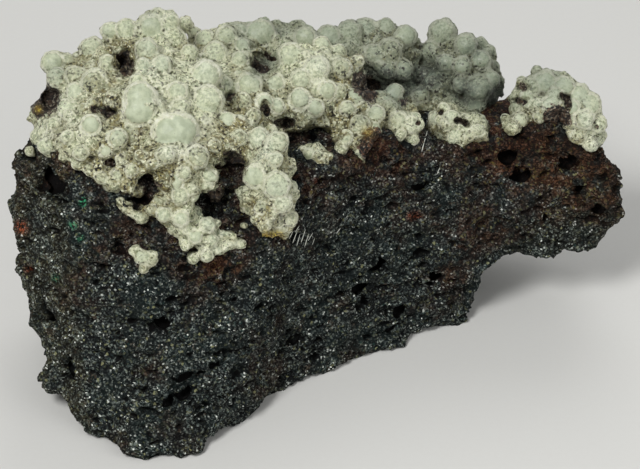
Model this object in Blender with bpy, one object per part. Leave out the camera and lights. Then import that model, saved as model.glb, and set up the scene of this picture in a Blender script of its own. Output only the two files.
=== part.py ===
"""Sal ammoniac: a botryoidal crust on a loose block of vesicular lava, resting on its flat base.

X runs to the right, Y away from the viewer and Z up. Sizes are written in millimetres and become
metres when a mesh is made. The crust is laid out on the front view: each globule has its place across
and up in the plane through the aim point, square to the line of sight, and is set on the rock behind
that place.
"""
import math
import random

import bmesh
import bpy
from mathutils import Matrix, Vector, noise
from mathutils.bvhtree import BVHTree

MM = 0.001

# Balls over this half size get one more level of faces
BIG_BALL = 1.9

# The front view that the crust is laid out on
VIEW_TILT = math.radians(35)
EYE_DISTANCE = 300.0
AIM = Vector((0.0, 0.0, 15.9))
ACROSS = Vector((1.0, 0.0, 0.0))
UPWARD = Vector((0.0, math.sin(VIEW_TILT), math.cos(VIEW_TILT)))
TOWARD = Vector((0.0, -math.cos(VIEW_TILT), math.sin(VIEW_TILT)))
SEARCH_REACH = 40.0
SEARCH_STEPS = 160

# Plain finishes
LAVA_COLOUR = (0.022, 0.024, 0.023)
LAVA_ROUGHNESS = 0.85
CRUST_COLOUR = (0.55, 0.56, 0.43)
CRUST_ROUGHNESS = 0.55

# Lava block: the even grains that it is fused at, its lumps, and the gap that it keeps to the crust
LAVA_GRAIN = 0.8
PIT_GRAIN = 0.6
CUTTER_GRAIN = 0.3
SWOLLEN_GRAIN = 0.5
LAVA_TRIANGLES = 3600
LUMP_SIZE = 7.0
LUMP_HEIGHT = 1.1
RIPPLE_SIZE = 2.6
RIPPLE_HEIGHT = 0.6
BASE_CUT = 0.5
CUTTER_SIDE = 200.0
REST_GAP = 0.45

# Corners of the main block, which is three overlapping masses: its left end, its middle and its right end
LEFT_BLOCK = [
    (-25.4, -19.2, 0), (-17.0, -22.2, 0), (-12.8, -20.8, 0), (-2.5, -6.4, 0), (0.0, 22.0, 0),
    (-14.0, 20.5, 0), (-27.0, 13.0, 0), (-30.8, 4.0, 0), (-29.8, -10.8, 2), (-31.2, -12.6, 5),
    (-33.2, -6.8, 9), (-34.4, -2.6, 14), (-35.0, -0.4, 20), (-34.0, 7.0, 18), (-34.0, -3.6, 28.6),
    (-28.5, -8.4, 33.2), (-16.0, -9.4, 31.6), (-4.0, -6.4, 29.2), (-30.0, 10.0, 28.6), (-20.0, 16.0, 29.0),
    (-6.0, 21.0, 27.0), (1.0, 22.0, 24.5), (1.5, -2.6, 27.8),
]
MIDDLE_BLOCK = [
    (-7.0, -11.0, 0), (-2.2, -6.8, 0), (9.8, -0.4, 0), (12.0, 21.0, 0), (-6.0, 21.0, 0),
    (-6.0, -7.2, 29.2), (3.0, -1.4, 27.4), (11.0, 3.6, 24.6), (12.0, 23.0, 20.6), (-6.0, 22.0, 26.8),
]
RIGHT_BLOCK = [
    (5.0, -2.0, 0), (17.4, 2.6, 0), (18.8, 3.8, 3.0), (20.2, 5.2, 8.4), (20.6, 6.4, 14.0),
    (17.0, 18.0, 0), (4.0, 21.0, 0), (20.5, 7.4, 23.8), (9.0, 2.6, 25.2), (18.0, 22.0, 19.0),
    (4.0, 22.0, 23.0), (20.0, 19.0, 8.0),
]

# Corners of the ledge on the right
LEDGE = [
    (14.0, 6.0, 9.0), (20.5, 4.8, 9.2), (23.7, 4.8, 8.8), (27.0, 4.8, 8.4), (32.8, 5.4, 9.8),
    (35.3, 6.8, 13.4), (34.2, 7.6, 18.0), (32.8, 7.8, 22.0), (31.0, 7.8, 24.2), (28.0, 7.8, 26.4),
    (23.8, 7.6, 26.2), (21.0, 7.8, 24.4), (14.0, 6.8, 24.0), (14.0, 22.0, 6.0), (27.0, 21.0, 7.4),
    (32.0, 18.0, 9.4), (32.6, 17.0, 18.0), (29.0, 19.0, 22.4), (22.0, 20.0, 22.0), (16.0, 22.0, 19.0),
]

# Round knobs that break up the block's outline: place and radius
KNOBS = [
    ((-32.2, -3.4, 29.2), 1.8), ((-33.5, -1.6, 22.6), 1.8), ((-33.9, 0.0, 19.8), 2.0),
    ((-32.6, -5.3, 15.0), 2.1), ((-30.0, -11.7, 4.6), 2.4), ((-20.0, -20.2, 1.6), 2.4),
    ((-13.8, -19.4, 1.4), 2.0), ((33.0, 8.5, 12.6), 2.4), ((27.0, 6.9, 10.4), 2.4),
    ((16.2, 6.2, 4.6), 2.4), ((9.0, 3.8, 2.0), 2.2), ((-24.4, -17.8, 1.8), 1.9), ((18.8, 6.4, 8.4), 1.7),
    ((7.9, 4.6, 26.0), 2.5), ((-10.0, -14.6, 1.8), 2.0), ((-2.0, -4.4, 2.0), 2.0),
    ((33.9, 7.4, 14.6), 1.9), ((33.4, 8.4, 17.6), 1.9), ((32.0, 9.0, 10.6), 2.0), ((10.8, 6.0, 24.0), 2.1),
]

# Pits in the lava on the front view: across, up, half width, half height
PITS = [
    (-31.7, -8.9, 1.2, 1.0), (-18.1, -10.2, 1.1, 0.8), (-5.3, -8.8, 1.2, 0.7), (-15.6, -16.0, 1.0, 0.5),
    (-15.6, -18.4, 1.0, 0.8), (-3.2, -12.4, 1.4, 0.6), (7.0, -3.6, 1.0, 0.9), (4.8, -6.5, 1.5, 0.7),
    (13.1, -4.9, 0.8, 0.7), (9.3, -9.1, 0.9, 0.7), (21.5, 8.7, 1.0, 0.8), (23.0, 6.8, 1.1, 0.9),
    (28.5, 8.4, 1.1, 0.7), (29.6, 5.0, 1.2, 0.5), (26.2, 1.8, 0.8, 0.5), (32.0, 2.8, 1.0, 1.0),
    (11.5, 5.3, 0.8, 0.7), (-31.2, 6.2, 1.7, 1.3), (-28.8, -15.6, 0.6, 1.3), (-17.2, -19.2, 0.7, 0.6),
    (-10.5, -4.5, 0.8, 0.6), (17.2, 1.5, 0.9, 0.6), (-24.5, -6.0, 0.8, 0.7), (0.5, -2.0, 0.9, 0.6),
]
PIT_DEPTH = 0.75

# Deep hollows behind the lip, on the front view: across, up, half width, half height, half depth
HOLLOWS = [
    (-12.4, 3.6, 3.0, 1.8, 3.2), (-18.8, 5.6, 2.2, 1.4, 2.2), (-20.6, 3.8, 1.6, 0.9, 1.6),
    (-10.2, 8.2, 1.8, 2.0, 2.6), (-1.6, 11.6, 4.0, 1.6, 2.6),
]

# Pits on the faces that the front view doesn't reach
HIDDEN_PITS = 34
HIDDEN_PIT_SIZE = (0.7, 1.7)
HIDDEN_PIT_FLATNESS = (0.6, 1.0)
HIDDEN_PIT_FLOOR = 2.5

# Crust, and how far a globule's middle stands proud of what it sits on, as a share of its radius
CRUST_GRAIN = 0.42
FLECK_GRAIN = 0.25
LIFT_ON_BODY = -0.1
LIFT_ON_ROCK = 0.3

# Bodies that the crust builds up from the rock: centre, then half width, half depth and half height
CRUST_CORES = [
    ((-20.6, 2.6, 32.4), (10.2, 10.4, 5.6)),
    ((-27.8, 0.4, 32.2), (4.4, 5.4, 3.2)),
    ((-25.0, -6.6, 33.2), (4.5, 3.0, 2.4)),
    ((-17.0, -8.4, 31.0), (5.2, 2.8, 3.0)),
    ((-12.4, -5.2, 31.4), (3.4, 3.4, 2.6)),
    ((-9.4, -4.0, 31.4), (2.8, 2.6, 1.9)),
    ((-23.0, 9.4, 30.2), (7.4, 5.0, 3.0)),
    ((-14.0, 13.0, 30.0), (6.0, 4.6, 3.2)),
    ((-9.0, 6.0, 31.0), (5.0, 9.0, 3.2)),
    ((-3.2, 7.6, 30.0), (6.0, 6.4, 3.2)),
    ((-0.8, 9.6, 32.2), (3.6, 3.2, 2.6)),
    ((3.2, 9.6, 31.0), (2.4, 2.6, 2.4)),
    ((3.4, 5.6, 28.6), (3.6, 3.6, 1.8)),
    ((6.8, 7.8, 27.6), (4.0, 2.8, 1.9)),
    ((9.9, 7.4, 26.5), (1.9, 2.3, 1.7)),
    ((3.6, 1.4, 28.0), (3.0, 1.6, 1.4)),
    ((-4.5, 17.2, 29.2), (6.4, 5.4, 3.6)),
    ((-10.0, 15.6, 30.6), (3.4, 4.0, 4.0)),
    ((7.4, 20.8, 26.2), (4.4, 4.4, 4.4)),
    ((3.0, 19.6, 28.0), (3.6, 3.6, 2.8)),
    ((16.8, 20.4, 24.4), (4.6, 4.6, 4.6)),
    ((12.0, 18.0, 22.6), (6.0, 4.6, 2.8)),
    ((-5.8, -6.4, 30.2), (2.5, 2.6, 2.6)),
    ((-5.4, -8.6, 26.2), (2.8, 2.2, 4.6)),
]
CAP_CORES = [
    ((26.4, 11.4, 27.2), (4.2, 3.4, 2.7)),
    ((30.4, 10.4, 24.6), (2.1, 3.0, 3.7)),
    ((22.6, 8.8, 25.4), (1.8, 1.4, 0.9)),
]
SADDLE_CORES = [
    ((15.1, 9.2, 25.4), (1.6, 1.9, 1.8)),
    ((17.4, 8.9, 24.7), (2.2, 1.8, 1.5)),
]

# Bodies that cling to the front face, on the front view: across, up, half width, half height, half depth
LIP_BEDS = [
    (-14.6, 0.2, 2.9, 2.4, 1.5), (-17.0, 2.3, 2.4, 1.3, 1.4), (-13.2, -1.8, 1.9, 1.4, 1.3),
    (-19.8, 3.0, 1.6, 0.8, 1.1), (-15.3, 5.2, 1.3, 1.9, 1.5), (-11.4, -0.5, 1.6, 1.0, 1.1),
    (-24.8, 7.0, 2.0, 1.1, 1.1), (-21.6, 6.2, 1.0, 2.0, 1.1),
]

# Holes that stay open in the crust, on the front view: across, up, half width, half height, half depth
CRUST_HOLES = [
    (-22.5, 20.3, 1.2, 1.8, 3.4), (-24.9, 14.3, 1.5, 0.8, 1.2), (-31.2, 15.8, 1.3, 1.5, 3.0),
    (-9.9, 14.9, 1.2, 0.6, 1.0), (-6.2, 14.6, 0.6, 1.2, 1.2), (-6.6, 19.6, 1.4, 1.2, 1.6),
    (-19.3, 5.7, 2.2, 1.4, 3.4),
]

# Globules on the front view: across, up, radius
LEFT_DOME = [
    (-30.7, 19.7, 1.4), (-29.2, 20.0, 0.8), (-30.2, 18.0, 1.3), (-28.1, 18.3, 1.2), (-26.2, 21.4, 1.4),
    (-24.1, 23.4, 1.1), (-22.2, 23.5, 1.3), (-19.5, 24.6, 1.6), (-17.4, 25.0, 1.2), (-20.0, 21.2, 1.4),
    (-20.4, 19.4, 0.9), (-18.7, 22.8, 0.7), (-16.7, 22.4, 1.4), (-18.1, 19.5, 1.1), (-15.5, 24.2, 1.0),
    (-14.4, 23.2, 0.8), (-13.2, 22.4, 1.2), (-10.8, 23.0, 1.2), (-8.9, 21.8, 0.9), (-15.0, 20.8, 1.1),
    (-12.1, 20.6, 1.6), (-9.2, 20.1, 1.1), (-8.4, 20.3, 0.8), (-25.9, 17.5, 1.6), (-24.4, 19.6, 1.1),
    (-29.1, 14.5, 1.1), (-30.7, 12.7, 0.8), (-32.2, 11.2, 1.1), (-31.4, 10.2, 1.0), (-26.3, 12.7, 1.2),
    (-29.1, 11.2, 0.8), (-24.7, 9.5, 0.8), (-25.6, 8.2, 0.7), (-20.7, 14.9, 2.3), (-16.7, 11.7, 2.5),
    (-13.2, 18.3, 1.8), (-12.9, 15.4, 1.8), (-17.8, 9.1, 1.1), (-14.1, 9.1, 1.4), (-21.8, 7.4, 0.8),
    (-19.3, 8.0, 0.7), (-20.7, 9.1, 0.7), (-12.7, 6.8, 1.0), (-13.2, 5.4, 0.7), (-14.7, 5.1, 0.7),
    (-12.1, 4.8, 0.8), (-9.2, 11.1, 0.9), (-12.1, 10.3, 0.8), (-23.4, 11.0, 1.2), (-22.4, 18.6, 0.9),
    (-27.6, 9.4, 0.9), (-16.4, 16.4, 1.2), (-10.6, 13.0, 1.1), (-11.2, 17.4, 1.0), (-28.2, 16.4, 1.0),
    (-22.8, 8.4, 0.8), (-15.6, 7.0, 0.9), (-16.2, 14.6, 1.2), (-21.0, 17.6, 0.9), (-10.0, 9.0, 0.9),
    (-26.4, 7.4, 0.8), (-25.2, 6.6, 0.8), (-24.2, 5.8, 0.8), (-23.4, 5.4, 0.6), (-23.2, 6.8, 0.9),
    (-27.8, 8.2, 0.8), (-33.4, 9.6, 0.6),
]
FRONT_LOBE = [
    (-7.1, 10.9, 1.4), (-4.9, 10.6, 1.3), (-5.2, 8.6, 0.9), (-7.5, 6.8, 1.4), (-4.9, 5.7, 1.6),
    (-4.3, 3.6, 1.4), (-8.9, 4.8, 0.8), (-6.3, 2.2, 1.8), (-8.6, 3.0, 0.6), (-3.4, 1.4, 1.1),
    (-8.6, 1.1, 0.5), (-6.2, -0.2, 1.1), (-3.0, 7.0, 0.9), (-4.2, -0.2, 0.9), (-2.6, 4.4, 0.8),
]
MIDDLE = [
    (-8.1, 17.2, 1.5), (-3.5, 20.6, 1.5), (-0.3, 19.1, 1.5), (0.2, 21.6, 1.1), (2.1, 21.0, 1.0),
    (2.6, 19.1, 1.2), (4.3, 19.8, 0.8), (-5.2, 17.5, 1.2), (-4.9, 14.7, 1.0), (-2.3, 15.5, 1.4),
    (0.6, 12.8, 0.7), (4.0, 15.8, 1.1), (3.2, 14.5, 1.0), (5.2, 14.9, 0.6), (-2.2, 17.8, 1.3),
    (0.8, 16.6, 1.2), (-6.6, 15.2, 1.1), (-7.6, 13.6, 0.9), (-0.4, 14.6, 1.1), (2.0, 16.4, 1.0),
    (4.6, 12.6, 1.2), (6.4, 14.0, 1.1), (7.8, 12.4, 0.9), (9.0, 13.2, 1.1), (10.4, 12.6, 1.1),
    (11.2, 12.6, 0.8), (10.6, 11.0, 0.9), (3.0, 11.2, 0.9), (5.2, 10.6, 0.9), (4.4, 9.2, 0.8),
    (8.0, 14.8, 0.9), (2.4, 9.8, 0.8), (9.2, 11.4, 0.8), (-9.0, 15.4, 1.0), (6.0, 12.0, 1.0),
]
LIP = [
    (-21.0, 5.5, 0.8), (-22.4, 2.8, 0.7), (-18.4, 4.2, 1.0), (-16.1, 4.5, 1.2), (-14.4, 2.6, 0.7),
    (-20.5, 2.2, 0.9), (-17.8, 2.2, 1.1), (-15.9, 1.7, 1.3), (-14.3, -0.3, 1.0), (-12.9, 0.7, 1.2),
    (-12.1, 1.4, 0.6), (-13.2, -1.8, 1.2), (-11.3, -0.1, 0.8), (-9.2, -0.9, 0.9), (-15.4, -0.4, 0.9),
    (-17.0, 0.8, 0.8), (-11.6, -1.6, 0.9), (-10.2, -0.6, 0.7), (-19.2, 3.0, 0.8), (-14.2, -2.6, 0.7),
    (-16.6, 6.0, 1.0), (-18.2, 6.2, 0.9), (-15.6, 3.2, 0.9),
]
BACK = [
    (-6.9, 22.9, 1.9), (-1.6, 22.6, 1.4), (1.0, 22.8, 1.4), (3.5, 23.4, 1.4), (5.2, 23.4, 1.6),
    (8.1, 21.2, 1.6), (9.8, 22.8, 1.4), (7.8, 18.9, 1.2), (14.1, 23.2, 1.7), (14.4, 19.8, 1.1),
    (16.7, 21.8, 1.4), (18.2, 16.8, 1.8), (17.8, 15.4, 1.2), (16.1, 17.2, 0.9), (11.5, 16.0, 1.1),
    (6.2, 20.6, 1.3), (9.6, 19.0, 1.3), (18.6, 20.0, 1.3), (12.6, 21.2, 1.2), (19.6, 17.8, 1.2),
    (11.8, 18.2, 1.2), (7.6, 23.8, 1.2), (16.4, 19.4, 1.2), (13.0, 17.4, 1.1), (8.6, 16.4, 1.1),
]
SADDLE = [
    (14.3, 14.4, 0.8), (15.2, 13.5, 1.0), (16.7, 12.6, 0.8), (18.2, 12.0, 0.8), (15.5, 11.4, 0.9),
    (14.4, 12.6, 0.7), (17.2, 11.4, 0.7), (18.8, 11.6, 0.6), (13.8, 13.2, 0.6), (16.4, 11.2, 0.6),
]
CAP = [
    (25.9, 17.6, 1.4), (24.3, 17.0, 1.2), (28.0, 17.0, 1.3), (29.7, 16.1, 1.3), (31.2, 15.0, 1.3),
    (31.9, 12.8, 1.1), (30.4, 13.2, 1.3), (31.1, 10.3, 0.8), (23.8, 15.6, 1.0), (22.4, 14.3, 0.7),
    (24.7, 14.9, 0.9), (26.5, 14.9, 1.1), (23.0, 13.2, 0.9), (21.3, 13.4, 0.6), (25.2, 13.6, 0.8),
    (28.8, 14.6, 1.1), (29.0, 12.8, 0.9), (32.2, 11.4, 0.8), (27.2, 16.0, 1.1),
]
FLECK = [
    (-21.2, -1.8, 0.7), (-20.4, -2.6, 0.9), (-19.4, -3.0, 0.8), (-20.2, -3.9, 0.7), (-19.2, -2.4, 0.6),
]
BEADS = [
    (-1.2, 9.6, 0.9), (-0.4, 9.2, 1.0), (0.6, 8.8, 0.7),
]

# Globules sown where none is laid out: their radius, how far apart and how deep they sit, as shares
# of the radius, and how far down the bodies they go
SOWN_RADIUS = (0.7, 1.5)
SOWN_APART = 1.15
SOWN_SINK = 0.25
SOWN_FACING = -0.35
SOWN_TRIES = 12


def clear_scene():
    """Remove every object, so that the script can be run again."""
    for obj in list(bpy.data.objects):
        bpy.data.objects.remove(obj, do_unlink=True)


def stone_material(name, colour, roughness):
    """A plain finish with the stone's own colour."""
    material = bpy.data.materials.new(name)
    material.use_nodes = True
    shader = material.node_tree.nodes["Principled BSDF"]
    shader.inputs["Base Color"].default_value = (*colour, 1.0)
    shader.inputs["Roughness"].default_value = roughness
    shader.inputs["Metallic"].default_value = 0.0
    material.diffuse_color = (*colour, 1.0)
    return material


def object_from(bm, name):
    """Turn a bmesh into a linked object."""
    mesh = bpy.data.meshes.new(name)
    bm.to_mesh(mesh)
    bm.free()
    obj = bpy.data.objects.new(name, mesh)
    bpy.context.scene.collection.objects.link(obj)
    return obj


def settle(obj):
    """Replace the object's mesh with what its modifiers give."""
    graph = bpy.context.evaluated_depsgraph_get()
    mesh = bpy.data.meshes.new_from_object(obj.evaluated_get(graph))
    obj.modifiers.clear()
    obj.data = mesh


def remesh(obj, grain):
    """Fuse everything in the object into one skin of even small faces."""
    modifier = obj.modifiers.new("fuse", "REMESH")
    modifier.mode = "VOXEL"
    modifier.voxel_size = grain * MM
    settle(obj)


def thin_out(obj, triangles):
    """Bring the object down to about the given number of triangles."""
    bm = bmesh.new()
    bm.from_mesh(obj.data)
    bmesh.ops.triangulate(bm, faces=bm.faces)
    count = len(bm.faces)
    bm.to_mesh(obj.data)
    bm.free()
    modifier = obj.modifiers.new("thin", "DECIMATE")
    modifier.ratio = min(1.0, triangles / count)
    settle(obj)


def cut_away(obj, cutter):
    """Take the cutter's space out of the object and drop the cutter."""
    modifier = obj.modifiers.new("cut", "BOOLEAN")
    modifier.operation = "DIFFERENCE"
    modifier.solver = "EXACT"
    modifier.object = cutter
    settle(obj)
    bpy.data.objects.remove(cutter, do_unlink=True)


def keep_largest(obj):
    """Drop loose scraps and inner shells, and keep the biggest closed skin."""
    bm = bmesh.new()
    bm.from_mesh(obj.data)
    left = set(bm.faces)
    islands = []
    while left:
        stack = [left.pop()]
        island = list(stack)
        while stack:
            face = stack.pop()
            for edge in face.edges:
                for other in edge.link_faces:
                    if other in left:
                        left.remove(other)
                        stack.append(other)
                        island.append(other)
        islands.append(island)
    islands.sort(key=len, reverse=True)
    scraps = [face for island in islands[1:] for face in island]
    bmesh.ops.delete(bm, geom=scraps, context="FACES")
    loose = [vert for vert in bm.verts if not vert.link_faces]
    bmesh.ops.delete(bm, geom=loose, context="VERTS")
    bm.to_mesh(obj.data)
    bm.free()


def add_hull(bm, corners):
    """Add the tight skin round a set of corners."""
    verts = [bm.verts.new(Vector(corner) * MM) for corner in corners]
    result = bmesh.ops.convex_hull(bm, input=verts)
    inside = [item for item in result["geom_interior"] if isinstance(item, bmesh.types.BMVert)]
    bmesh.ops.delete(bm, geom=inside, context="VERTS")


def add_ball(bm, centre, halves, turn=None):
    """Add a ball with the given half sizes, turned if asked."""
    scale = Matrix.Diagonal((halves[0] * MM, halves[1] * MM, halves[2] * MM, 1.0))
    matrix = Matrix.Translation(Vector(centre) * MM) @ (turn or Matrix.Identity(4)) @ scale
    detail = 3 if max(halves) > BIG_BALL else 2
    bmesh.ops.create_icosphere(bm, subdivisions=detail, radius=1.0, matrix=matrix)


def roughen(obj, size, height, seed):
    """Push the skin in and out with lumps of the given size and height."""
    mesh = obj.data
    offset = Vector((seed * 13.1, seed * 7.7, seed * 3.3))
    moved = []
    for vert in mesh.vertices:
        place = vert.co / (size * MM)
        lump = noise.noise(place + offset) + 0.5 * noise.noise(place * 2.1 + offset * 1.7)
        moved.append(vert.co + vert.normal * lump * height * MM)
    for vert, place in zip(mesh.vertices, moved):
        vert.co = place
    mesh.update()


def sight_line(across, up):
    """The eye's place and the direction of sight through a spot of the front view, in metres."""
    eye = AIM + TOWARD * EYE_DISTANCE
    spot = AIM + ACROSS * across + UPWARD * up
    return eye * MM, (spot - eye).normalized()


def on_surface(tree, across, up):
    """Where a sight line meets the surface, or passes closest to it, and the surface's normal there."""
    eye, sight = sight_line(across, up)
    place, normal, index, reach = tree.ray_cast(eye, sight)
    if place is not None:
        return place, normal
    best = None
    for step in range(SEARCH_STEPS):
        along = (EYE_DISTANCE - SEARCH_REACH + 2 * SEARCH_REACH * step / SEARCH_STEPS) * MM
        spot = eye + sight * along
        near, facing, index, gap = tree.find_nearest(spot)
        if best is None or gap < best[0]:
            best = (gap, spot, facing)
    return best[1], best[2]


def tree_of(*objects):
    """A search tree over the faces of several objects."""
    verts = []
    faces = []
    for obj in objects:
        start = len(verts)
        verts.extend(vert.co.copy() for vert in obj.data.vertices)
        faces.extend([start + index for index in face.vertices] for face in obj.data.polygons)
    return BVHTree.FromPolygons(verts, faces)


def facing_turn(normal):
    """A rotation that lays a ball's third axis along the normal and its first axis level."""
    third = normal.normalized()
    first = Vector((0.0, 0.0, 1.0)).cross(third)
    if first.length < 0.1:
        first = Vector((1.0, 0.0, 0.0))
    first.normalize()
    second = third.cross(first)
    return Matrix((first, second, third)).transposed().to_4x4()


def add_sunk_ball(bm, tree, across, up, half_width, half_height, half_depth):
    """Add a ball centred on the surface, turned to face the eye."""
    place, normal = on_surface(tree, across, up)
    back = -sight_line(across, up)[1]
    add_ball(bm, place / MM, (half_width, half_height, half_depth), facing_turn(back))


def make_lava():
    """The block and its ledge, with lumps, pits and a flat base."""
    bm = bmesh.new()
    for corners in (LEFT_BLOCK, MIDDLE_BLOCK, RIGHT_BLOCK, LEDGE):
        add_hull(bm, corners)
    for centre, radius in KNOBS:
        add_ball(bm, centre, (radius, radius, radius))
    lava = object_from(bm, "lava")
    remesh(lava, LAVA_GRAIN)
    roughen(lava, LUMP_SIZE, LUMP_HEIGHT, seed=3)
    roughen(lava, RIPPLE_SIZE, RIPPLE_HEIGHT, seed=8)
    remesh(lava, PIT_GRAIN)

    tree = tree_of(lava)
    bm = bmesh.new()
    for across, up, half_width, half_height in PITS:
        place, normal = on_surface(tree, across, up)
        halves = (half_width, half_height, PIT_DEPTH * (half_width + half_height))
        add_ball(bm, place / MM, halves, facing_turn(normal))
    for hollow in HOLLOWS:
        add_sunk_ball(bm, tree, *hollow)
    sow_hidden_pits(bm, lava)
    cutter = object_from(bm, "pit cutter")
    remesh(cutter, CUTTER_GRAIN)
    cut_away(lava, cutter)
    thin_out(lava, LAVA_TRIANGLES)
    bm = bmesh.new()
    side = CUTTER_SIDE * MM
    bmesh.ops.create_cube(bm, size=side, matrix=Matrix.Translation((0.0, 0.0, BASE_CUT * MM - side / 2)))
    cut_away(lava, object_from(bm, "base cutter"))
    keep_largest(lava)
    return lava


def sow_hidden_pits(bm, lava):
    """Pits on the back, the far side and the top, at seeded places."""
    chance = random.Random(21)
    hidden = [face for face in lava.data.polygons
              if face.center.z > HIDDEN_PIT_FLOOR * MM and face.normal.dot(TOWARD) < 0.0]
    for face in chance.sample(hidden, HIDDEN_PITS):
        width = chance.uniform(*HIDDEN_PIT_SIZE)
        height = width * chance.uniform(*HIDDEN_PIT_FLATNESS)
        add_ball(bm, face.center / MM, (width, height, width), facing_turn(face.normal))


def make_crust(name, lava, globules, triangles, seed, cores=(), beds=(), holes=(), sown=0,
               lift=LIFT_ON_BODY, grain=CRUST_GRAIN):
    """One grown-together crust: its bodies, the laid-out globules and sown ones, cut to the rock."""
    rock_tree = tree_of(lava)
    bm = bmesh.new()
    for centre, halves in cores:
        add_ball(bm, centre, halves)
    for bed in beds:
        add_sunk_ball(bm, rock_tree, *bed)
    body = object_from(bm, name + " body")
    tree = tree_of(lava, body)
    bm = bmesh.new()
    bm.from_mesh(body.data)
    places = []
    for across, up, radius in globules:
        place, normal = on_surface(tree, across, up)
        centre = place / MM + normal * radius * lift
        add_ball(bm, centre, (radius, radius, radius))
        places.append((centre, radius))
    if sown:
        sow_globules(bm, body, places, sown, seed)
    bpy.data.objects.remove(body, do_unlink=True)
    crust = object_from(bm, name)
    remesh(crust, grain)
    keep_largest(crust)
    if holes:
        tree = tree_of(crust)
        bm = bmesh.new()
        for hole in holes:
            add_sunk_ball(bm, tree, *hole)
        cut_away(crust, object_from(bm, "hole cutter"))
    cut_away(crust, swollen_copy(lava))
    keep_largest(crust)
    thin_out(crust, triangles)
    return crust


def sow_globules(bm, body, places, count, seed):
    """Fill the bare parts of the crust's bodies with globules at seeded places."""
    chance = random.Random(seed)
    polygons = [face for face in body.data.polygons if face.normal.z > SOWN_FACING]
    weights = [face.area for face in polygons]
    for attempt in range(count * SOWN_TRIES):
        if count == 0:
            break
        face = chance.choices(polygons, weights)[0]
        radius = chance.uniform(*SOWN_RADIUS)
        centre = face.center / MM - face.normal * radius * SOWN_SINK
        if any((centre - other).length < SOWN_APART * max(radius, reach) for other, reach in places):
            continue
        add_ball(bm, centre, (radius, radius, radius))
        places.append((centre, radius))
        count -= 1


def swollen_copy(lava):
    """The rock swollen by the gap that is left under the crust."""
    copy = lava.copy()
    copy.data = lava.data.copy()
    bpy.context.scene.collection.objects.link(copy)
    for vert in copy.data.vertices:
        vert.co = vert.co + vert.normal * REST_GAP * MM
    copy.data.update()
    remesh(copy, SWOLLEN_GRAIN)
    return copy


def centre_on_base(objects):
    """Put the origin under the middle of the specimen, at the height of its base."""
    corners = [vert.co for obj in objects for vert in obj.data.vertices]
    low = Vector([min(corner[axis] for corner in corners) for axis in range(3)])
    high = Vector([max(corner[axis] for corner in corners) for axis in range(3)])
    shift = Vector(((low.x + high.x) / 2, (low.y + high.y) / 2, low.z))
    for obj in objects:
        obj.data.transform(Matrix.Translation(-shift))


def build():
    """Make the specimen."""
    clear_scene()
    lava = make_lava()
    lava.data.materials.append(stone_material("vesicular lava", LAVA_COLOUR, LAVA_ROUGHNESS))
    main_globules = LEFT_DOME + FRONT_LOBE + MIDDLE + LIP + BACK
    crusts = [
        make_crust("crust", lava, main_globules, 4700, seed=5, cores=CRUST_CORES, beds=LIP_BEDS,
                   holes=CRUST_HOLES, sown=260),
        make_crust("crust_cap", lava, CAP, 900, seed=6, cores=CAP_CORES, sown=40),
        make_crust("crust_saddle", lava, SADDLE, 360, seed=7, cores=SADDLE_CORES, sown=12),
        make_crust("crust_fleck", lava, FLECK, 150, seed=8, lift=LIFT_ON_ROCK, grain=FLECK_GRAIN),
        make_crust("crust_beads", lava, BEADS, 120, seed=9, lift=LIFT_ON_ROCK, grain=FLECK_GRAIN),
    ]
    for crust in crusts:
        crust.data.materials.append(stone_material(crust.name + " salt", CRUST_COLOUR, CRUST_ROUGHNESS))
    centre_on_base([lava] + crusts)


build()
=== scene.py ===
"""Sal ammoniac on vesicular lava: the finished specimen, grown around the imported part."""

import math
import random

import bmesh
import bpy
import numpy as np
from bpy.props import FloatProperty, FloatVectorProperty, IntProperty, PointerProperty
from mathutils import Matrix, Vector, noise
from mathutils.bvhtree import BVHTree
from mathutils.kdtree import KDTree


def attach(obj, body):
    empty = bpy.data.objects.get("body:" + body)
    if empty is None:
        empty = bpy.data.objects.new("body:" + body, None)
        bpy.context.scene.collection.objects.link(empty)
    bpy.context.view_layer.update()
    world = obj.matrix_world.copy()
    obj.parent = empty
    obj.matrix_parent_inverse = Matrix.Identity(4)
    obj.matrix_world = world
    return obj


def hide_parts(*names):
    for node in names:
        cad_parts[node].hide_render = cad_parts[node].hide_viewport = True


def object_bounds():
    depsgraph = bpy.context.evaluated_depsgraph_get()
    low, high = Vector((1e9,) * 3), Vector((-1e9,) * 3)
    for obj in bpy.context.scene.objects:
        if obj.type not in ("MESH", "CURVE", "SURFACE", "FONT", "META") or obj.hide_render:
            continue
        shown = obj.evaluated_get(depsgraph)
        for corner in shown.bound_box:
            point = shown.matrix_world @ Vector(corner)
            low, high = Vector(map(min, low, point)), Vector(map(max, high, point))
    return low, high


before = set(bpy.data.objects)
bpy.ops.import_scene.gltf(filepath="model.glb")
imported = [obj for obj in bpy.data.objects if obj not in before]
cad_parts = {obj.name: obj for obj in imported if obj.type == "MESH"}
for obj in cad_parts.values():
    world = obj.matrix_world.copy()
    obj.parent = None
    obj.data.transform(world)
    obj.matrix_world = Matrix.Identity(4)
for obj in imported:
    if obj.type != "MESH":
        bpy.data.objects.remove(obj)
CAD_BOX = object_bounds()

bl_info = {
    "name": "Sal ammoniac specimen",
    "version": (1, 0, 0),
    "blender": (4, 5, 0),
    "location": "3D View > Sidebar > Specimen",
    "description": "Grows a botryoidal sal ammoniac crust on a block of vesicular lava",
    "category": "Object",
}

MM = 0.001

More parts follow.
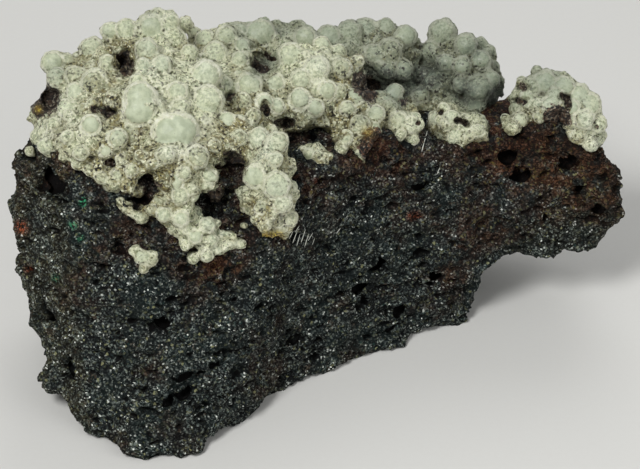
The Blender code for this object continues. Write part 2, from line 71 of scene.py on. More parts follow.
# The view that the specimen was laid out on, in millimetres: its tilt above level, the eye's distance from
# the aim point and the width that the frame takes in there. Its directions are across, upward and toward.
VIEW_TILT = math.radians(35)
EYE_DISTANCE = 300.0
AIM = Vector((-0.16, -1.71, 15.4))
FRAME_WIDTH = 73.6
SENSOR_WIDTH = 36.0
ACROSS = Vector((1.0, 0.0, 0.0))
UPWARD = Vector((0.0, math.sin(VIEW_TILT), math.cos(VIEW_TILT)))
TOWARD = Vector((0.0, -math.cos(VIEW_TILT), math.sin(VIEW_TILT)))

# How far before and behind the aim point a sight line that misses the part is searched, and in how many steps
SEARCH_REACH = 40.0
SEARCH_STEPS = 160

# What each seed adds to the place where noise is read, so that no two noises are alike
SEED_STEP = (17.3, 5.1, 9.7)

# How many steps of weight the thinning of hidden faces works with
HIDDEN_LEVELS = 10

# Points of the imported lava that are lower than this, in millimetres, belong to its flat base
BASE_SKIN = 0.06

# Smaller gas holes around each laid-out one: how many, and their least and greatest share of its size
SIDE_HOLES = 4
SIDE_HOLE_SHARES = (0.35, 0.75)

# Bubbles sown over the block, in millimetres: least half width, what chance adds to it, and how high above
# the base they start. Height and depth are shares of the half width.
BUBBLE_WIDTH = 0.3
BUBBLE_SPREAD = 0.9
BUBBLE_FLOOR = 1.0
BUBBLE_HEIGHTS = (0.35, 0.9)
BUBBLE_DEPTHS = (0.5, 1.1)

# Globules sown between the laid-out ones: the share of them that are knobs, the knobs' radii, and the beads'
# least radius and what chance adds to it, in millimetres. They sit in the crust by a share of their radius.
KNOB_SHARE = 0.11
KNOB_RADII = (0.4, 0.95)
BEAD_RADIUS = 0.17
BEAD_SPREAD = 0.26
SEAT_SHARES = (0.15, 0.8)

# Size in millimetres of the faces that the crust's body is spread with before anything is sown on it
BODY_GRAIN = 0.3

# How much the laid-out globules swell over their radius, so that neighbours grow together
SWELL_SHARE = 1.03

# The smallest separate bit of crust that is kept, in cubic millimetres
LEAST_CRUMB = 0.1

# How the crust's underside is drawn into the rock, in millimetres: from how near, with what fade, how deep
ROCK_REACH = 1.3
ROCK_FADE = 0.7
ROOT_DEPTH = 0.35

# The least radius in millimetres of a sown knob that has a heart at all, and of a globule with a clear one
LEAST_KNOB = 0.55
LEAST_HEARTED = 0.6

# How squarely a globule's surface faces its growth axis, from 0 at the side to 1 at the tip: between which
# two values the grey heart comes up, the white rim comes up, and the rim gives way to the heart
HEART_EDGE = (0.66, 0.75)
RIM_START = (0.1, 0.35)
RIM_END = (0.6, 0.7)

# The soft lights: name, place and size in millimetres, share of the key light's power
LIGHTS = [
    ("key_softbox", (-155, -240, 350), 130, 1.0), ("fill_softbox", (260, -200, 180), 260, 0.25),
    ("back_softbox", (60, 260, 300), 240, 0.3),
]
LIGHT_AIM = Vector((0.0, 0.0, 16.0))
SURROUNDINGS_COLOUR = "#EAEBEC"
SURROUNDINGS_STRENGTH = 0.32
FLOOR_SIZE = 1500
CLIP_NEAR = 10
CLIP_FAR = 10000

# The tables from here to the hollows are laid out on the front view, in millimetres across and up
# from the aim point

# The gas holes that stand out on the front: across, up, half width, half height, depth
GAS_HOLES = [
    (-31.7, -8.9, 1.3, 1.1, 1.6), (-18.1, -10.2, 1.2, 0.8, 1.5), (-5.3, -8.8, 1.3, 0.6, 1.4),
    (-15.6, -16.0, 1.3, 0.6, 1.2), (-15.6, -18.4, 1.0, 0.8, 1.2), (-3.2, -12.4, 1.5, 0.5, 1.1),
    (7.0, -3.6, 0.9, 0.9, 1.6), (4.8, -6.5, 1.6, 0.6, 1.3), (13.1, -4.9, 0.8, 0.7, 1.2),
    (9.3, -9.1, 0.8, 0.7, 1.0), (21.5, 8.7, 1.0, 0.7, 1.4), (23.0, 6.8, 1.1, 0.9, 1.5),
    (28.5, 8.4, 1.1, 0.6, 1.2), (29.6, 5.0, 1.2, 0.4, 1.0), (26.2, 1.8, 0.7, 0.4, 0.9),
    (32.0, 2.8, 0.9, 0.9, 1.2), (11.5, 5.3, 0.7, 0.6, 1.0), (-31.2, 6.2, 1.7, 1.3, 1.8),
    (-28.8, -15.6, 0.5, 1.4, 1.0), (-17.2, -19.2, 0.8, 0.6, 1.0), (-3.0, -12.0, 0.8, 0.4, 0.9),
    (26.6, 10.5, 0.7, 0.5, 0.9), (25.8, 6.8, 0.6, 0.5, 0.8), (23.5, -0.2, 0.8, 0.5, 0.9),
    (15.2, -5.7, 0.7, 0.5, 0.8), (15.2, -8.2, 0.5, 0.4, 0.7), (11.2, -5.7, 0.6, 0.4, 0.7),
    (8.1, -11.0, 0.7, 0.5, 0.8), (2.5, -7.1, 0.8, 0.5, 0.9), (7.7, -9.4, 0.5, 0.4, 0.7),
    (16.6, -6.4, 0.5, 0.5, 0.7),
]

# Globules of each growth: across, up, radius
LEFT_DOME = [
    (-30.7, 19.7, 1.4), (-29.2, 20.0, 0.8), (-30.2, 18.0, 1.3), (-28.1, 18.3, 1.2), (-26.2, 21.4, 1.4),
    (-24.1, 23.4, 1.1), (-22.2, 23.5, 1.3), (-19.5, 24.0, 1.5), (-17.2, 24.4, 1.1), (-20.0, 21.2, 1.4),
    (-20.4, 19.4, 0.9), (-18.7, 22.8, 0.7), (-16.7, 22.4, 1.4), (-18.1, 19.5, 1.1), (-15.5, 24.2, 1.0),
    (-14.4, 23.2, 0.8), (-13.2, 22.4, 1.2), (-10.8, 23.0, 1.2), (-8.9, 21.8, 0.9), (-15.0, 20.8, 1.1),
    (-12.1, 20.6, 1.6), (-9.2, 20.1, 1.1), (-8.4, 20.3, 0.8), (-25.9, 17.5, 1.6), (-24.4, 19.6, 1.1),
    (-29.1, 14.5, 1.1), (-30.7, 12.7, 0.8), (-32.2, 11.2, 1.1), (-31.4, 10.2, 1.0), (-26.3, 12.7, 1.2),
    (-29.1, 11.2, 0.8), (-24.7, 9.5, 0.8), (-25.6, 8.2, 0.7), (-20.8, 14.3, 1.9), (-20.6, 15.6, 1.9),
    (-17.2, 11.7, 2.1), (-16.1, 11.9, 2.1), (-13.2, 18.3, 1.8), (-12.9, 15.4, 1.8), (-17.8, 9.1, 1.1),
    (-14.1, 9.1, 1.4), (-21.8, 7.4, 0.8), (-19.3, 8.0, 0.7), (-20.7, 9.1, 0.7), (-12.7, 6.8, 1.0),
    (-13.2, 5.4, 0.7), (-14.7, 5.1, 0.7), (-12.1, 4.8, 0.8), (-9.2, 11.1, 0.9), (-12.1, 10.3, 0.8),
    (-23.4, 11.0, 1.2), (-22.4, 18.6, 0.9), (-27.6, 9.4, 0.9), (-16.4, 16.4, 1.2), (-10.6, 13.0, 1.1),
    (-11.2, 17.4, 1.0), (-28.2, 16.4, 1.0), (-22.8, 8.4, 0.8), (-15.6, 7.0, 0.9), (-16.2, 14.6, 1.2),
    (-21.0, 17.6, 0.9), (-10.0, 9.0, 0.9), (-26.4, 7.4, 0.8), (-25.2, 6.6, 0.8), (-24.2, 5.8, 0.8),
    (-23.4, 5.4, 0.6), (-23.2, 6.8, 0.9), (-27.8, 8.2, 0.8), (-33.4, 9.6, 0.6),
]
FRONT_LOBE = [
    (-7.1, 10.9, 1.4), (-4.9, 10.6, 1.3), (-5.2, 8.6, 0.9), (-7.5, 6.8, 1.4), (-4.9, 5.7, 1.6),
    (-4.3, 3.6, 1.2), (-8.9, 4.8, 0.7), (-6.8, 3.0, 0.8), (-8.6, 3.0, 0.5), (-3.4, 1.8, 0.9),
    (-8.6, 1.1, 0.5), (-6.4, 1.0, 0.7), (-3.6, 7.3, 0.7), (-4.6, 0.9, 0.8), (-2.9, 4.6, 0.6),
    (-5.6, 2.2, 0.6), (-7.4, 1.8, 0.6), (-5.4, 3.6, 0.6), (-5.4, 0.1, 0.6),
]
MIDDLE = [
    (-8.1, 17.2, 1.5), (-3.5, 20.6, 1.5), (-0.3, 19.1, 1.5), (0.2, 21.6, 1.1), (2.1, 21.0, 1.0),
    (2.6, 19.1, 1.2), (4.3, 19.8, 0.8), (-5.2, 17.5, 1.2), (-4.9, 14.7, 1.0), (-2.3, 15.5, 1.4),
    (0.6, 12.8, 0.7), (4.0, 15.8, 1.1), (3.2, 14.5, 1.0), (5.2, 14.9, 0.6), (-2.2, 17.8, 1.3),
    (0.8, 16.6, 1.2), (-6.6, 15.2, 1.1), (-7.6, 13.6, 0.9), (-0.4, 14.6, 1.1), (2.0, 16.4, 1.0),
    (4.6, 12.6, 1.2), (6.4, 14.0, 1.1), (7.8, 12.4, 0.9), (9.0, 13.2, 1.1), (10.4, 12.6, 1.1),
    (11.2, 12.6, 0.8), (10.6, 11.0, 0.9), (3.0, 11.2, 0.9), (5.2, 10.6, 0.9), (4.4, 9.2, 0.8),
    (8.0, 14.8, 0.9), (2.4, 9.8, 0.8), (9.2, 11.4, 0.8), (-9.0, 15.4, 1.0), (6.0, 12.0, 1.0),
]
LIP = [
    (-21.0, 5.5, 0.8), (-23.0, 3.7, 0.55), (-22.6, 3.2, 0.5), (-22.1, 2.7, 0.55), (-21.4, 2.3, 0.5),
    (-18.5, 4.1, 0.9), (-16.1, 4.5, 1.1), (-14.4, 2.6, 0.7), (-20.5, 2.0, 0.8), (-19.4, 2.9, 0.7),
    (-17.9, 2.3, 0.9), (-16.0, 1.8, 1.0), (-14.4, -0.3, 0.9), (-16.7, 0.4, 0.7), (-15.5, -1.1, 0.7),
    (-13.0, 1.0, 0.9), (-11.9, 1.4, 0.5), (-12.5, -0.6, 0.8), (-14.5, -2.8, 0.7), (-13.0, -2.5, 0.8),
    (-11.6, -2.0, 0.5), (-9.1, -1.1, 0.7), (-10.1, -1.3, 0.45), (-16.6, 6.0, 1.0), (-18.2, 6.2, 0.9),
    (-15.4, 3.2, 0.7),
]
BACK = [
    (-6.9, 22.9, 1.9), (-1.6, 22.6, 1.4), (1.0, 22.8, 1.4), (3.5, 23.4, 1.4), (5.2, 23.4, 1.6),
    (8.1, 21.2, 1.6), (9.8, 22.8, 1.4), (7.8, 18.9, 1.2), (14.1, 23.2, 1.7), (14.4, 19.8, 1.1),
    (16.7, 21.8, 1.4), (18.2, 16.8, 1.8), (17.8, 15.4, 1.2), (16.1, 17.2, 0.9), (11.5, 16.0, 1.1),
    (6.2, 20.6, 1.3), (9.6, 19.0, 1.3), (18.6, 20.0, 1.3), (12.6, 21.2, 1.2), (19.6, 17.8, 1.2),
    (11.8, 18.2, 1.2), (7.6, 23.8, 1.2), (16.4, 19.4, 1.2), (13.0, 17.4, 1.1), (8.6, 16.4, 1.1),
]
SADDLE = [
    (14.3, 14.4, 0.8), (15.2, 13.5, 1.0), (16.7, 12.6, 0.8), (18.2, 12.0, 0.8), (15.5, 11.4, 0.9),
    (14.4, 12.6, 0.7), (17.2, 11.4, 0.7), (18.8, 11.6, 0.6), (13.8, 13.2, 0.6), (16.4, 11.2, 0.6),
]
CAP = [
    (25.9, 17.6, 1.4), (24.3, 17.0, 1.2), (28.0, 17.0, 1.3), (29.7, 16.1, 1.3), (31.2, 15.0, 1.3),
    (31.9, 12.8, 1.1), (30.4, 13.2, 1.3), (31.1, 10.3, 0.8), (23.8, 15.6, 1.0), (22.4, 14.3, 0.7),
    (24.7, 14.9, 0.9), (26.5, 14.9, 1.1), (23.0, 13.2, 0.9), (21.3, 13.4, 0.6), (25.2, 13.6, 0.8),
    (28.8, 14.6, 1.1), (29.0, 12.8, 0.9), (32.2, 11.4, 0.8), (27.2, 16.0, 1.1),
]
FLECK = [
    (-21.2, -1.8, 0.7), (-20.4, -2.6, 0.9), (-19.4, -3.0, 0.8), (-20.2, -3.9, 0.7), (-19.2, -2.4, 0.6),
]
BEADS = [
    (-1.9, 9.7, 0.6), (-1.2, 9.2, 0.8), (-0.3, 9.0, 0.7), (0.2, 8.4, 0.6), (0.6, 9.0, 0.5),
]

# Where the crust is dusty (above 0) or clean white (below 0): across, up, reach, amount
DUST_PATCHES = [
    (-25.2, 15.4, 2.4, 0.7), (-22.6, 10.6, 2.6, 0.6), (-26.0, 7.6, 2.2, 0.6), (-20.0, 8.0, 2.6, 0.8),
    (-17.4, 14.2, 1.8, 0.5), (-13.8, 10.6, 1.8, 0.6), (-10.6, 10.6, 2.4, 0.8), (-8.6, 13.4, 1.8, 0.6),
    (-17.6, 6.6, 2.2, 0.7), (-20.0, 4.4, 2.2, 0.8), (-14.6, 8.0, 1.6, 0.5), (-22.6, 18.0, 1.6, 0.7),
    (-5.6, 1.8, 1.6, 0.1), (-4.6, 7.4, 1.2, 0.1), (0.4, 13.4, 2.4, 0.8), (3.0, 12.4, 2.2, 0.8),
    (-2.6, 12.8, 2.2, 0.6), (6.8, 12.8, 1.6, 0.3), (6.4, 20.0, 3.2, 0.9), (12.0, 17.4, 3.4, 0.9),
    (9.6, 19.6, 2.6, 0.7), (17.6, 19.6, 2.6, 0.8), (3.4, 17.2, 1.6, 0.4), (-13.6, 22.4, 1.6, 0.5),
    (-28.6, 19.0, 1.6, 0.4), (-27.4, -2.0, 2.0, 0.3), (25.0, 13.0, 1.4, 0.4), (28.6, 13.4, 1.2, 0.6),
    (-29.0, 14.2, 1.4, -0.6), (-27.6, 11.4, 1.6, -0.5), (-13.4, 18.6, 2.2, -0.5), (-12.8, 15.6, 1.6, -0.4),
    (-20.4, 14.9, 2.4, -0.6), (-16.6, 11.4, 2.4, -0.8), (-3.4, 20.4, 1.8, -0.8), (-0.2, 18.8, 1.8, -0.9),
    (-4.6, 4.2, 1.8, -0.4), (-7.4, 6.8, 1.4, -0.5), (-15.6, 1.2, 2.4, -0.6), (-13.0, -1.0, 2.0, -0.5),
    (-18.6, 22.8, 1.6, -0.3), (14.1, 23.4, 1.4, -0.5), (31.0, 12.8, 1.6, -0.6), (31.8, 10.6, 1.4, -0.7),
    (-23.0, 21.8, 2.8, 0.3), (-16.0, 22.6, 2.8, 0.25), (-14.0, 17.6, 2.6, -0.3), (-16.6, 12.6, 2.6, -0.25),
    (-16.7, 16.0, 1.1, 0.9), (-21.0, 10.6, 1.8, 0.4), (-27.0, 15.0, 1.2, 0.4), (-19.0, 18.6, 1.2, -0.5),
    (13.0, 18.6, 2.2, 0.5), (-10.4, 15.4, 1.2, 0.8), (-24.6, 14.2, 1.4, 0.6), (5.4, 15.0, 1.8, 0.6),
    (-23.4, 21.2, 1.2, 1.0), (-6.4, 2.0, 1.8, 0.5), (-7.6, 3.6, 1.2, 0.5), (2.0, 17.2, 1.4, 0.3),
    (27.4, 14.6, 1.6, 0.5), (25.6, 16.8, 1.8, -0.3), (10.8, 12.4, 1.2, -0.5), (15.4, 13.2, 1.2, -0.2),
    (-6.2, 22.2, 1.8, 0.2),
]

# Stains on the rock: across, up, reach, amount
RUST_PATCHES = [
    (-24.0, -2.6, 3.6, 0.4), (-13.0, -3.6, 4.0, 0.5), (-1.5, 5.4, 3.0, 0.5), (7.5, 9.0, 3.6, 0.9),
    (17.6, 0.6, 3.6, 0.6), (11.0, 3.0, 2.4, 0.3), (24.0, 9.6, 5.0, 0.5), (31.0, 4.0, 3.6, 0.5),
    (-20.0, -20.0, 4.0, 0.3), (-8.0, -14.0, 3.4, 0.3), (15.0, -5.0, 2.6, 0.45), (3.0, -8.6, 2.0, 0.25),
    (12.0, -9.0, 2.4, 0.3), (-31.0, 6.0, 3.0, 0.35),
]
ORANGE_SPOTS = [
    (-34.4, 0.8, 0.7, 1.0), (10.4, 2.1, 0.4, 0.6), (11.2, 2.2, 0.4, 0.6), (-0.5, 6.2, 0.3, 0.5),
    (-33.6, -4.0, 0.5, 0.5),
]
GREEN_SPOTS = [
    (-27.3, 3.6, 0.3, 1.5), (-27.2, 4.0, 0.2, 1.5), (-28.4, 1.1, 0.4, 0.7), (-27.6, -0.4, 0.35, 0.6),
    (-30.4, -5.0, 0.4, 0.4),
]

# Where rock shows through the crust: across, up, reach, amount
BARE_PATCHES = [
    (-31.4, 15.6, 1.35, 1.3), (-32.2, 14.6, 0.9, 1.0), (5.1, 16.9, 1.0, 1.2), (4.4, 18.0, 0.7, 1.0),
    (5.8, 15.9, 0.7, 0.8), (-15.2, 25.6, 0.25, 0.8), (23.2, 17.1, 0.35, 1.0), (23.5, 16.7, 0.25, 1.0),
    (22.8, 15.5, 0.4, 0.7), (23.5, 15.2, 0.35, 0.8), (27.7, 16.2, 0.25, 0.9), (28.1, 15.8, 0.3, 1.1),
    (28.5, 15.4, 0.35, 1.1), (28.7, 14.9, 0.3, 0.9), (31.6, 12.9, 0.2, 0.8), (31.8, 12.4, 0.25, 0.9),
    (27.2, 13.9, 0.9, 1.2), (28.1, 13.3, 0.8, 1.1), (26.2, 13.4, 0.6, 0.9), (15.7, 13.2, 0.35, 0.9),
    (16.5, 12.9, 0.35, 0.9), (13.9, 14.0, 0.3, 0.9), (11.3, 12.8, 0.3, 0.8), (-22.4, 19.1, 0.9, 0.8),
    (6.2, 11.0, 1.1, 1.2), (6.0, 9.6, 1.0, 1.2), (7.2, 10.6, 0.8, 1.0), (5.2, 9.8, 0.7, 0.8),
    (19.9, 12.9, 0.6, 1.1), (-4.0, 12.9, 0.8, 0.7), (-6.4, -1.4, 0.6, 1.0), (-5.2, -1.5, 0.6, 1.0),
    (-4.2, -1.1, 0.4, 0.6), (-24.6, 14.2, 0.7, 0.7), (-26.0, 14.4, 0.5, 0.6), (-9.9, 8.2, 1.3, 0.8),
    (-6.3, 14.6, 0.5, 0.8), (-10.2, 15.0, 0.4, 0.3), (9.6, 15.2, 0.7, 0.5),
]

# Where the crust is whitest, partly clean white and partly painted highlight: across, up, reach, amount
WHITE_AND_HIGHLIGHT_PATCHES = [
    (-4.4, 1.6, 1.3, 0.5), (-6.6, 10.8, 1.2, 0.4), (-7.4, 7.0, 1.0, 0.4), (-23.6, 8.6, 1.2, 0.3),
    (-18.6, 16.8, 1.1, 0.5), (-13.2, 19.4, 1.3, 0.5), (-16.6, 13.7, 1.0, 0.6), (-13.6, 16.8, 1.0, 0.4),
    (-16.3, 9.6, 0.9, 0.9), (-17.8, 9.6, 0.8, 0.7), (-15.0, 10.2, 0.8, 0.7), (-18.9, 11.6, 0.6, 0.6),
    (-14.2, 12.2, 0.8, 0.5), (-13.0, 13.2, 0.8, 0.5), (-14.9, 15.6, 0.7, 0.5), (-18.7, 15.4, 0.7, 0.4),
    (-22.4, 14.2, 0.7, 0.5), (-21.0, 12.4, 0.8, 0.4), (-27.4, 11.6, 0.7, 0.6), (-25.2, 13.4, 0.6, 0.5),
    (-29.6, 13.4, 1.0, 0.6), (-31.0, 11.4, 0.8, 0.6), (-28.8, 15.6, 0.8, 0.5), (0.0, 19.2, 1.1, 0.7),
    (-1.6, 19.6, 1.0, 0.5), (-0.4, 17.6, 0.8, 0.4), (-6.0, 4.8, 0.8, 0.5), (-3.8, 4.0, 0.8, 0.6),
    (-4.0, 2.2, 0.8, 0.4), (-13.6, -1.6, 0.9, 0.5), (-15.6, 1.4, 0.8, 0.5), (-12.4, 0.4, 0.7, 0.4),
    (31.0, 13.0, 1.0, 0.6), (31.4, 10.4, 0.9, 0.6), (25.8, 14.9, 0.8, 0.4), (22.6, 13.6, 0.6, 0.4),
    (14.6, 13.2, 0.7, 0.4), (17.6, 12.2, 0.6, 0.4), (9.8, 12.6, 0.7, 0.4), (6.0, 11.8, 0.6, 0.6),
    (-11.6, 18.9, 0.25, 0.9), (-11.5, 18.3, 0.25, 0.9), (-11.4, 17.6, 0.25, 1.0), (-11.3, 17.0, 0.25, 1.0),
    (-11.2, 16.3, 0.25, 1.0), (-11.1, 15.8, 0.25, 0.9), (-11.0, 15.3, 0.25, 0.9), (-10.8, 14.6, 0.25, 0.8),
]

# Small yellow sulphur stains on the crust: across, up, reach, amount
YELLOW_SPOTS = [
    (5.5, 11.8, 0.7, 0.3), (-6.1, -0.3, 0.6, 1.0), (-4.9, -0.2, 0.6, 0.9), (-32.4, 14.4, 0.4, 0.6),
]

# Needles that lie on the rock: from across and up, to across and up, half thickness
NEEDLES = [
    (-3.4, -0.9, -2.8, 0.6, 0.05), (-2.9, -1.2, -2.5, 0.2, 0.04), (-2.4, -0.8, -1.9, 0.7, 0.05),
    (-2.1, -1.3, -1.5, 0.2, 0.04), (-3.8, -0.4, -3.3, 0.5, 0.04), (-1.7, -0.6, -1.1, 0.4, 0.04),
    (-3.1, 0.3, -2.6, 1.1, 0.04), (12.2, 11.7, 11.9, 10.5, 0.04), (11.9, 10.5, 11.6, 9.4, 0.04),
    (-1.2, -1.1, -0.9, -0.2, 0.03), (13.2, 7.0, 13.6, 7.8, 0.03), (1.6, 0.2, 2.2, 0.9, 0.03),
]

# Globules with a clear grey heart inside a white rim, both painted light: across, up, strength
CLEAR_HEARTS = [
    (-20.8, 14.3, 0.85), (-20.6, 15.6, 0.8), (-17.2, 11.7, 0.95), (-16.1, 11.9, 0.95), (-26.3, 12.7, 0.8),
    (-12.9, 15.4, 0.5), (-7.5, 6.8, 0.8), (-4.9, 5.7, 0.5), (-22.2, 23.5, 0.5), (-24.7, 9.5, 0.6),
    (-16.0, 1.8, 0.6), (-14.4, -0.3, 0.7), (-17.9, 2.3, 0.5), (-3.5, 20.6, 0.5), (14.1, 23.2, 0.4),
    (18.2, 16.8, 0.4), (-17.8, 9.1, 0.3), (-14.1, 9.1, 0.35), (-12.7, 6.8, 0.45), (-12.9, 0.7, 0.4),
    (-4.3, 3.6, 0.35), (2.6, 19.1, 0.3), (-7.1, 10.9, 0.4), (-4.9, 10.6, 0.3), (30.5, 13.2, 0.3),
    (32.0, 12.6, 0.3),
]
# How near a globule's middle is to such a place, and how clear the hearts of all the others may be
HEART_REACH = 0.5
OTHER_HEARTS = (0.22, 0.7)

# Where the crust gets painted shade, greyer and darker: across, up, reach, amount
SHADE_PATCHES = [
    (-7.2, 19.0, 1.4, 0.7), (-5.9, 19.9, 1.2, 0.6), (7.4, 17.8, 1.5, 0.9), (8.6, 15.4, 1.4, 0.6),
    (4.8, 18.2, 1.1, 0.5), (27.5, 17.4, 2.0, 0.35), (30.6, 15.6, 1.4, 0.25), (2.0, 20.6, 2.0, 0.15),
    (-10.4, 17.2, 0.7, 0.6), (-10.2, 15.8, 0.7, 0.7), (25.0, 17.8, 2.4, 0.55), (22.6, 15.0, 1.2, 0.3),
    (18.4, 16.8, 2.0, 0.35), (-8.6, 23.4, 2.6, 0.5), (20.4, 15.8, 1.3, 0.7), (16.2, 16.6, 1.6, 0.5),
    (10.6, 17.4, 1.6, 0.4), (13.0, 18.6, 2.2, 0.4), (11.2, 17.2, 1.6, 0.3), (17.8, 21.2, 1.4, 0.3),
    (17.6, 14.9, 1.3, 0.4), (5.0, 13.6, 1.4, 0.3), (5.2, 16.6, 1.6, 0.4), (-1.2, 12.8, 2.4, 0.35),
    (-19.8, 25.0, 1.6, 0.3), (-30.4, 19.0, 1.4, 0.3), (20.0, 13.8, 1.2, 0.5),
]

# Where the globules lie flush in the crust: across, up, reach, amount
FLUSH_PATCHES = [
    (-18.0, 14.0, 6.0, 0.8), (-25.0, 17.0, 5.0, 0.5), (-14.0, 20.0, 4.0, 0.5), (-1.0, 18.5, 4.0, 0.5),
    (28.0, 15.5, 3.0, 0.4),
]

# Hollows in the crust: across, up, half width, half height, depth
CRUST_HOLLOWS = [
    (-22.6, 19.4, 1.4, 1.4, 2.8), (-22.9, 20.9, 1.2, 1.1, 1.0), (-25.4, 14.5, 0.9, 0.4, 1.0),
    (-24.2, 14.1, 0.9, 0.6, 1.3), (-31.2, 15.6, 1.2, 1.5, 1.0), (-4.0, 12.9, 1.4, 0.7, 2.2),
    (6.0, 10.4, 1.5, 1.3, 1.8), (27.2, 13.6, 1.3, 0.8, 1.4), (19.9, 12.9, 0.8, 0.8, 2.0),
    (-19.2, 5.9, 2.4, 1.5, 3.6), (-12.4, 3.5, 2.4, 1.6, 4.6), (-20.6, 3.9, 1.2, 0.7, 1.8),
    (-10.0, 7.9, 1.6, 1.9, 3.0), (-6.3, 14.5, 0.6, 1.1, 1.6), (-6.6, 19.5, 1.9, 1.6, 1.7),
    (5.4, 17.2, 1.7, 0.8, 1.0), (-10.2, 15.6, 0.9, 1.1, 0.8), (23.2, 17.0, 0.9, 0.55, 1.5),
    (23.2, 15.4, 0.9, 0.5, 1.4), (28.2, 15.8, 0.9, 0.5, 1.5), (0.2, 11.6, 3.2, 0.8, 1.8),
    (13.9, 14.0, 0.45, 0.5, 1.2), (15.9, 13.1, 0.8, 0.35, 2.2), (16.9, 12.9, 0.55, 0.5, 2.2),
    (11.3, 12.8, 0.4, 0.45, 1.2), (28.6, 15.0, 0.5, 1.0, 1.5), (31.6, 12.6, 0.3, 0.6, 0.9),
]

# The crusts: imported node, piece, globules, how many times the set lift, beads, most triangles, seed. The main
# crust has its beads and its triangles from the settings.
CRUSTS = [
    ("crust", "main_crust", LEFT_DOME + FRONT_LOBE + MIDDLE + LIP + BACK, 1, None, None, 5),
    ("crust_cap", "cap_crust", CAP, 1, 1300, 60000, 6),
    ("crust_saddle", "saddle_crust", SADDLE, 3, 420, 24000, 7),
    ("crust_fleck", "fleck_crust", FLECK, 2, 160, 8000, 8),
    ("crust_beads", "bead_pair", BEADS, 5, 90, 6000, 9),
]


def linear(hex_colour):
    """An sRGB hex colour as linear red, green, blue and a full alpha."""
    parts = [int(hex_colour[place:place + 2], 16) / 255 for place in (1, 3, 5)]
    return tuple(part / 12.92 if part <= 0.04045 else ((part + 0.055) / 1.055) ** 2.4
                 for part in parts) + (1.0,)


class RockSettings(bpy.types.PropertyGroup):
    """Sizes and colours of the lava block."""
    grain: FloatProperty(
        name="Grain", description="Size of the faces on the seen sides", default=0.24 * MM,
        min=0.1 * MM, unit="LENGTH", precision=5)
    face_limit: IntProperty(
        name="Face limit", description="Most triangles in the block", default=192000, min=10000)
    lump_height: FloatProperty(
        name="Lump height", description="How far the broken surface's lumps stand out",
        default=0.5 * MM, unit="LENGTH", precision=5)
    crumb_height: FloatProperty(
        name="Crumb height", description="How far the crumbly surface's grains stand out",
        default=0.34 * MM, unit="LENGTH", precision=5)
    split_depth: FloatProperty(
        name="Split depth", description="How deep the narrow splits along the flow go",
        default=0.55 * MM, unit="LENGTH", precision=5)
    grit_height: FloatProperty(
        name="Grit height", description="How far the finest modelled grains stand out",
        default=0.12 * MM, unit="LENGTH", precision=5)
    bubble_count: IntProperty(
        name="Bubbles", description="Small gas holes sown over the whole block", default=2600, min=0)
    ground_colour: FloatVectorProperty(
        name="Ground", description="The glassy ground between the grains", size=4, subtype="COLOR",
        default=linear("#040505"), min=0.0, max=1.0)
    crystal_colour: FloatVectorProperty(
        name="Crystals", description="The feldspar grains", size=4, subtype="COLOR",
        default=linear("#404848"), min=0.0, max=1.0)
    rust_colour: FloatVectorProperty(
        name="Rust", description="The stain that the fumes left", size=4, subtype="COLOR",
        default=linear("#603C20"), min=0.0, max=1.0)


class CrustSettings(bpy.types.PropertyGroup):
    """Sizes and colours of the sal ammoniac crust."""
    grain: FloatProperty(
        name="Grain", description="Size of the crust's faces", default=0.19 * MM,
        min=0.1 * MM, unit="LENGTH", precision=5)
    face_limit: IntProperty(
        name="Face limit", description="Most triangles in the main crust", default=192000, min=10000)
    bead_count: IntProperty(
        name="Beads", description="Small globules sown over the main crust", default=6000, min=0)
    frost_height: FloatProperty(
        name="Frost height", description="How far the granular parts' grains stand out",
        default=0.15 * MM, unit="LENGTH", precision=5)
    furrow_depth: FloatProperty(
        name="Furrow depth", description="How far the crust lies back between its laid-out globules",
        default=0.7 * MM, unit="LENGTH", precision=5)
    globule_lift: FloatProperty(
        name="Globule lift", description="How far laid-out globules stand proud, as a share of their radius",
        default=0.16, min=0.0, max=1.0, subtype="FACTOR")
    swell_height: FloatProperty(
        name="Swell height", description="How far the crust swells between its globules",
        default=0.22 * MM, unit="LENGTH", precision=5)
    pale_colour: FloatVectorProperty(
        name="Pale crust", description="The clean, waxy crust", size=4, subtype="COLOR",
        default=linear("#F5F7D2"), min=0.0, max=1.0)
    khaki_colour: FloatVectorProperty(
        name="Khaki crust", description="The sugary crust with rock dust in it", size=4, subtype="COLOR",
        default=linear("#5E5232"), min=0.0, max=1.0)


class NeedleSettings(bpy.types.PropertyGroup):
    """The fine needles."""
    lift: FloatProperty(
        name="Lift", description="How far the needles lie above the packed rock",
        default=0.35 * MM, unit="LENGTH", precision=5)


class StageSettings(bpy.types.PropertyGroup):
    """The floor and the light."""
    key_power: FloatProperty(
        name="Key light", description="Power of the large soft light, upper front left",
        default=1.3, min=0.0, unit="POWER")


def add_node(tree, kind, inputs=None, out=None, **options):
    """Add a shader node with its options, give its inputs a value or a link each, and hand back the node or
    the output that is asked for."""
    node = tree.nodes.new(kind)
    for name, value in options.items():
        setattr(node, name, value)
    for key, value in (inputs or {}).items():
        if isinstance(value, bpy.types.NodeSocket):
            tree.links.new(value, node.inputs[key])
        else:
            node.inputs[key].default_value = value
    return node if out is None else node.outputs[out]


def pattern(found, share):
    """A pattern by its name, or a number as it is."""
    return found[share] if isinstance(share, str) else share


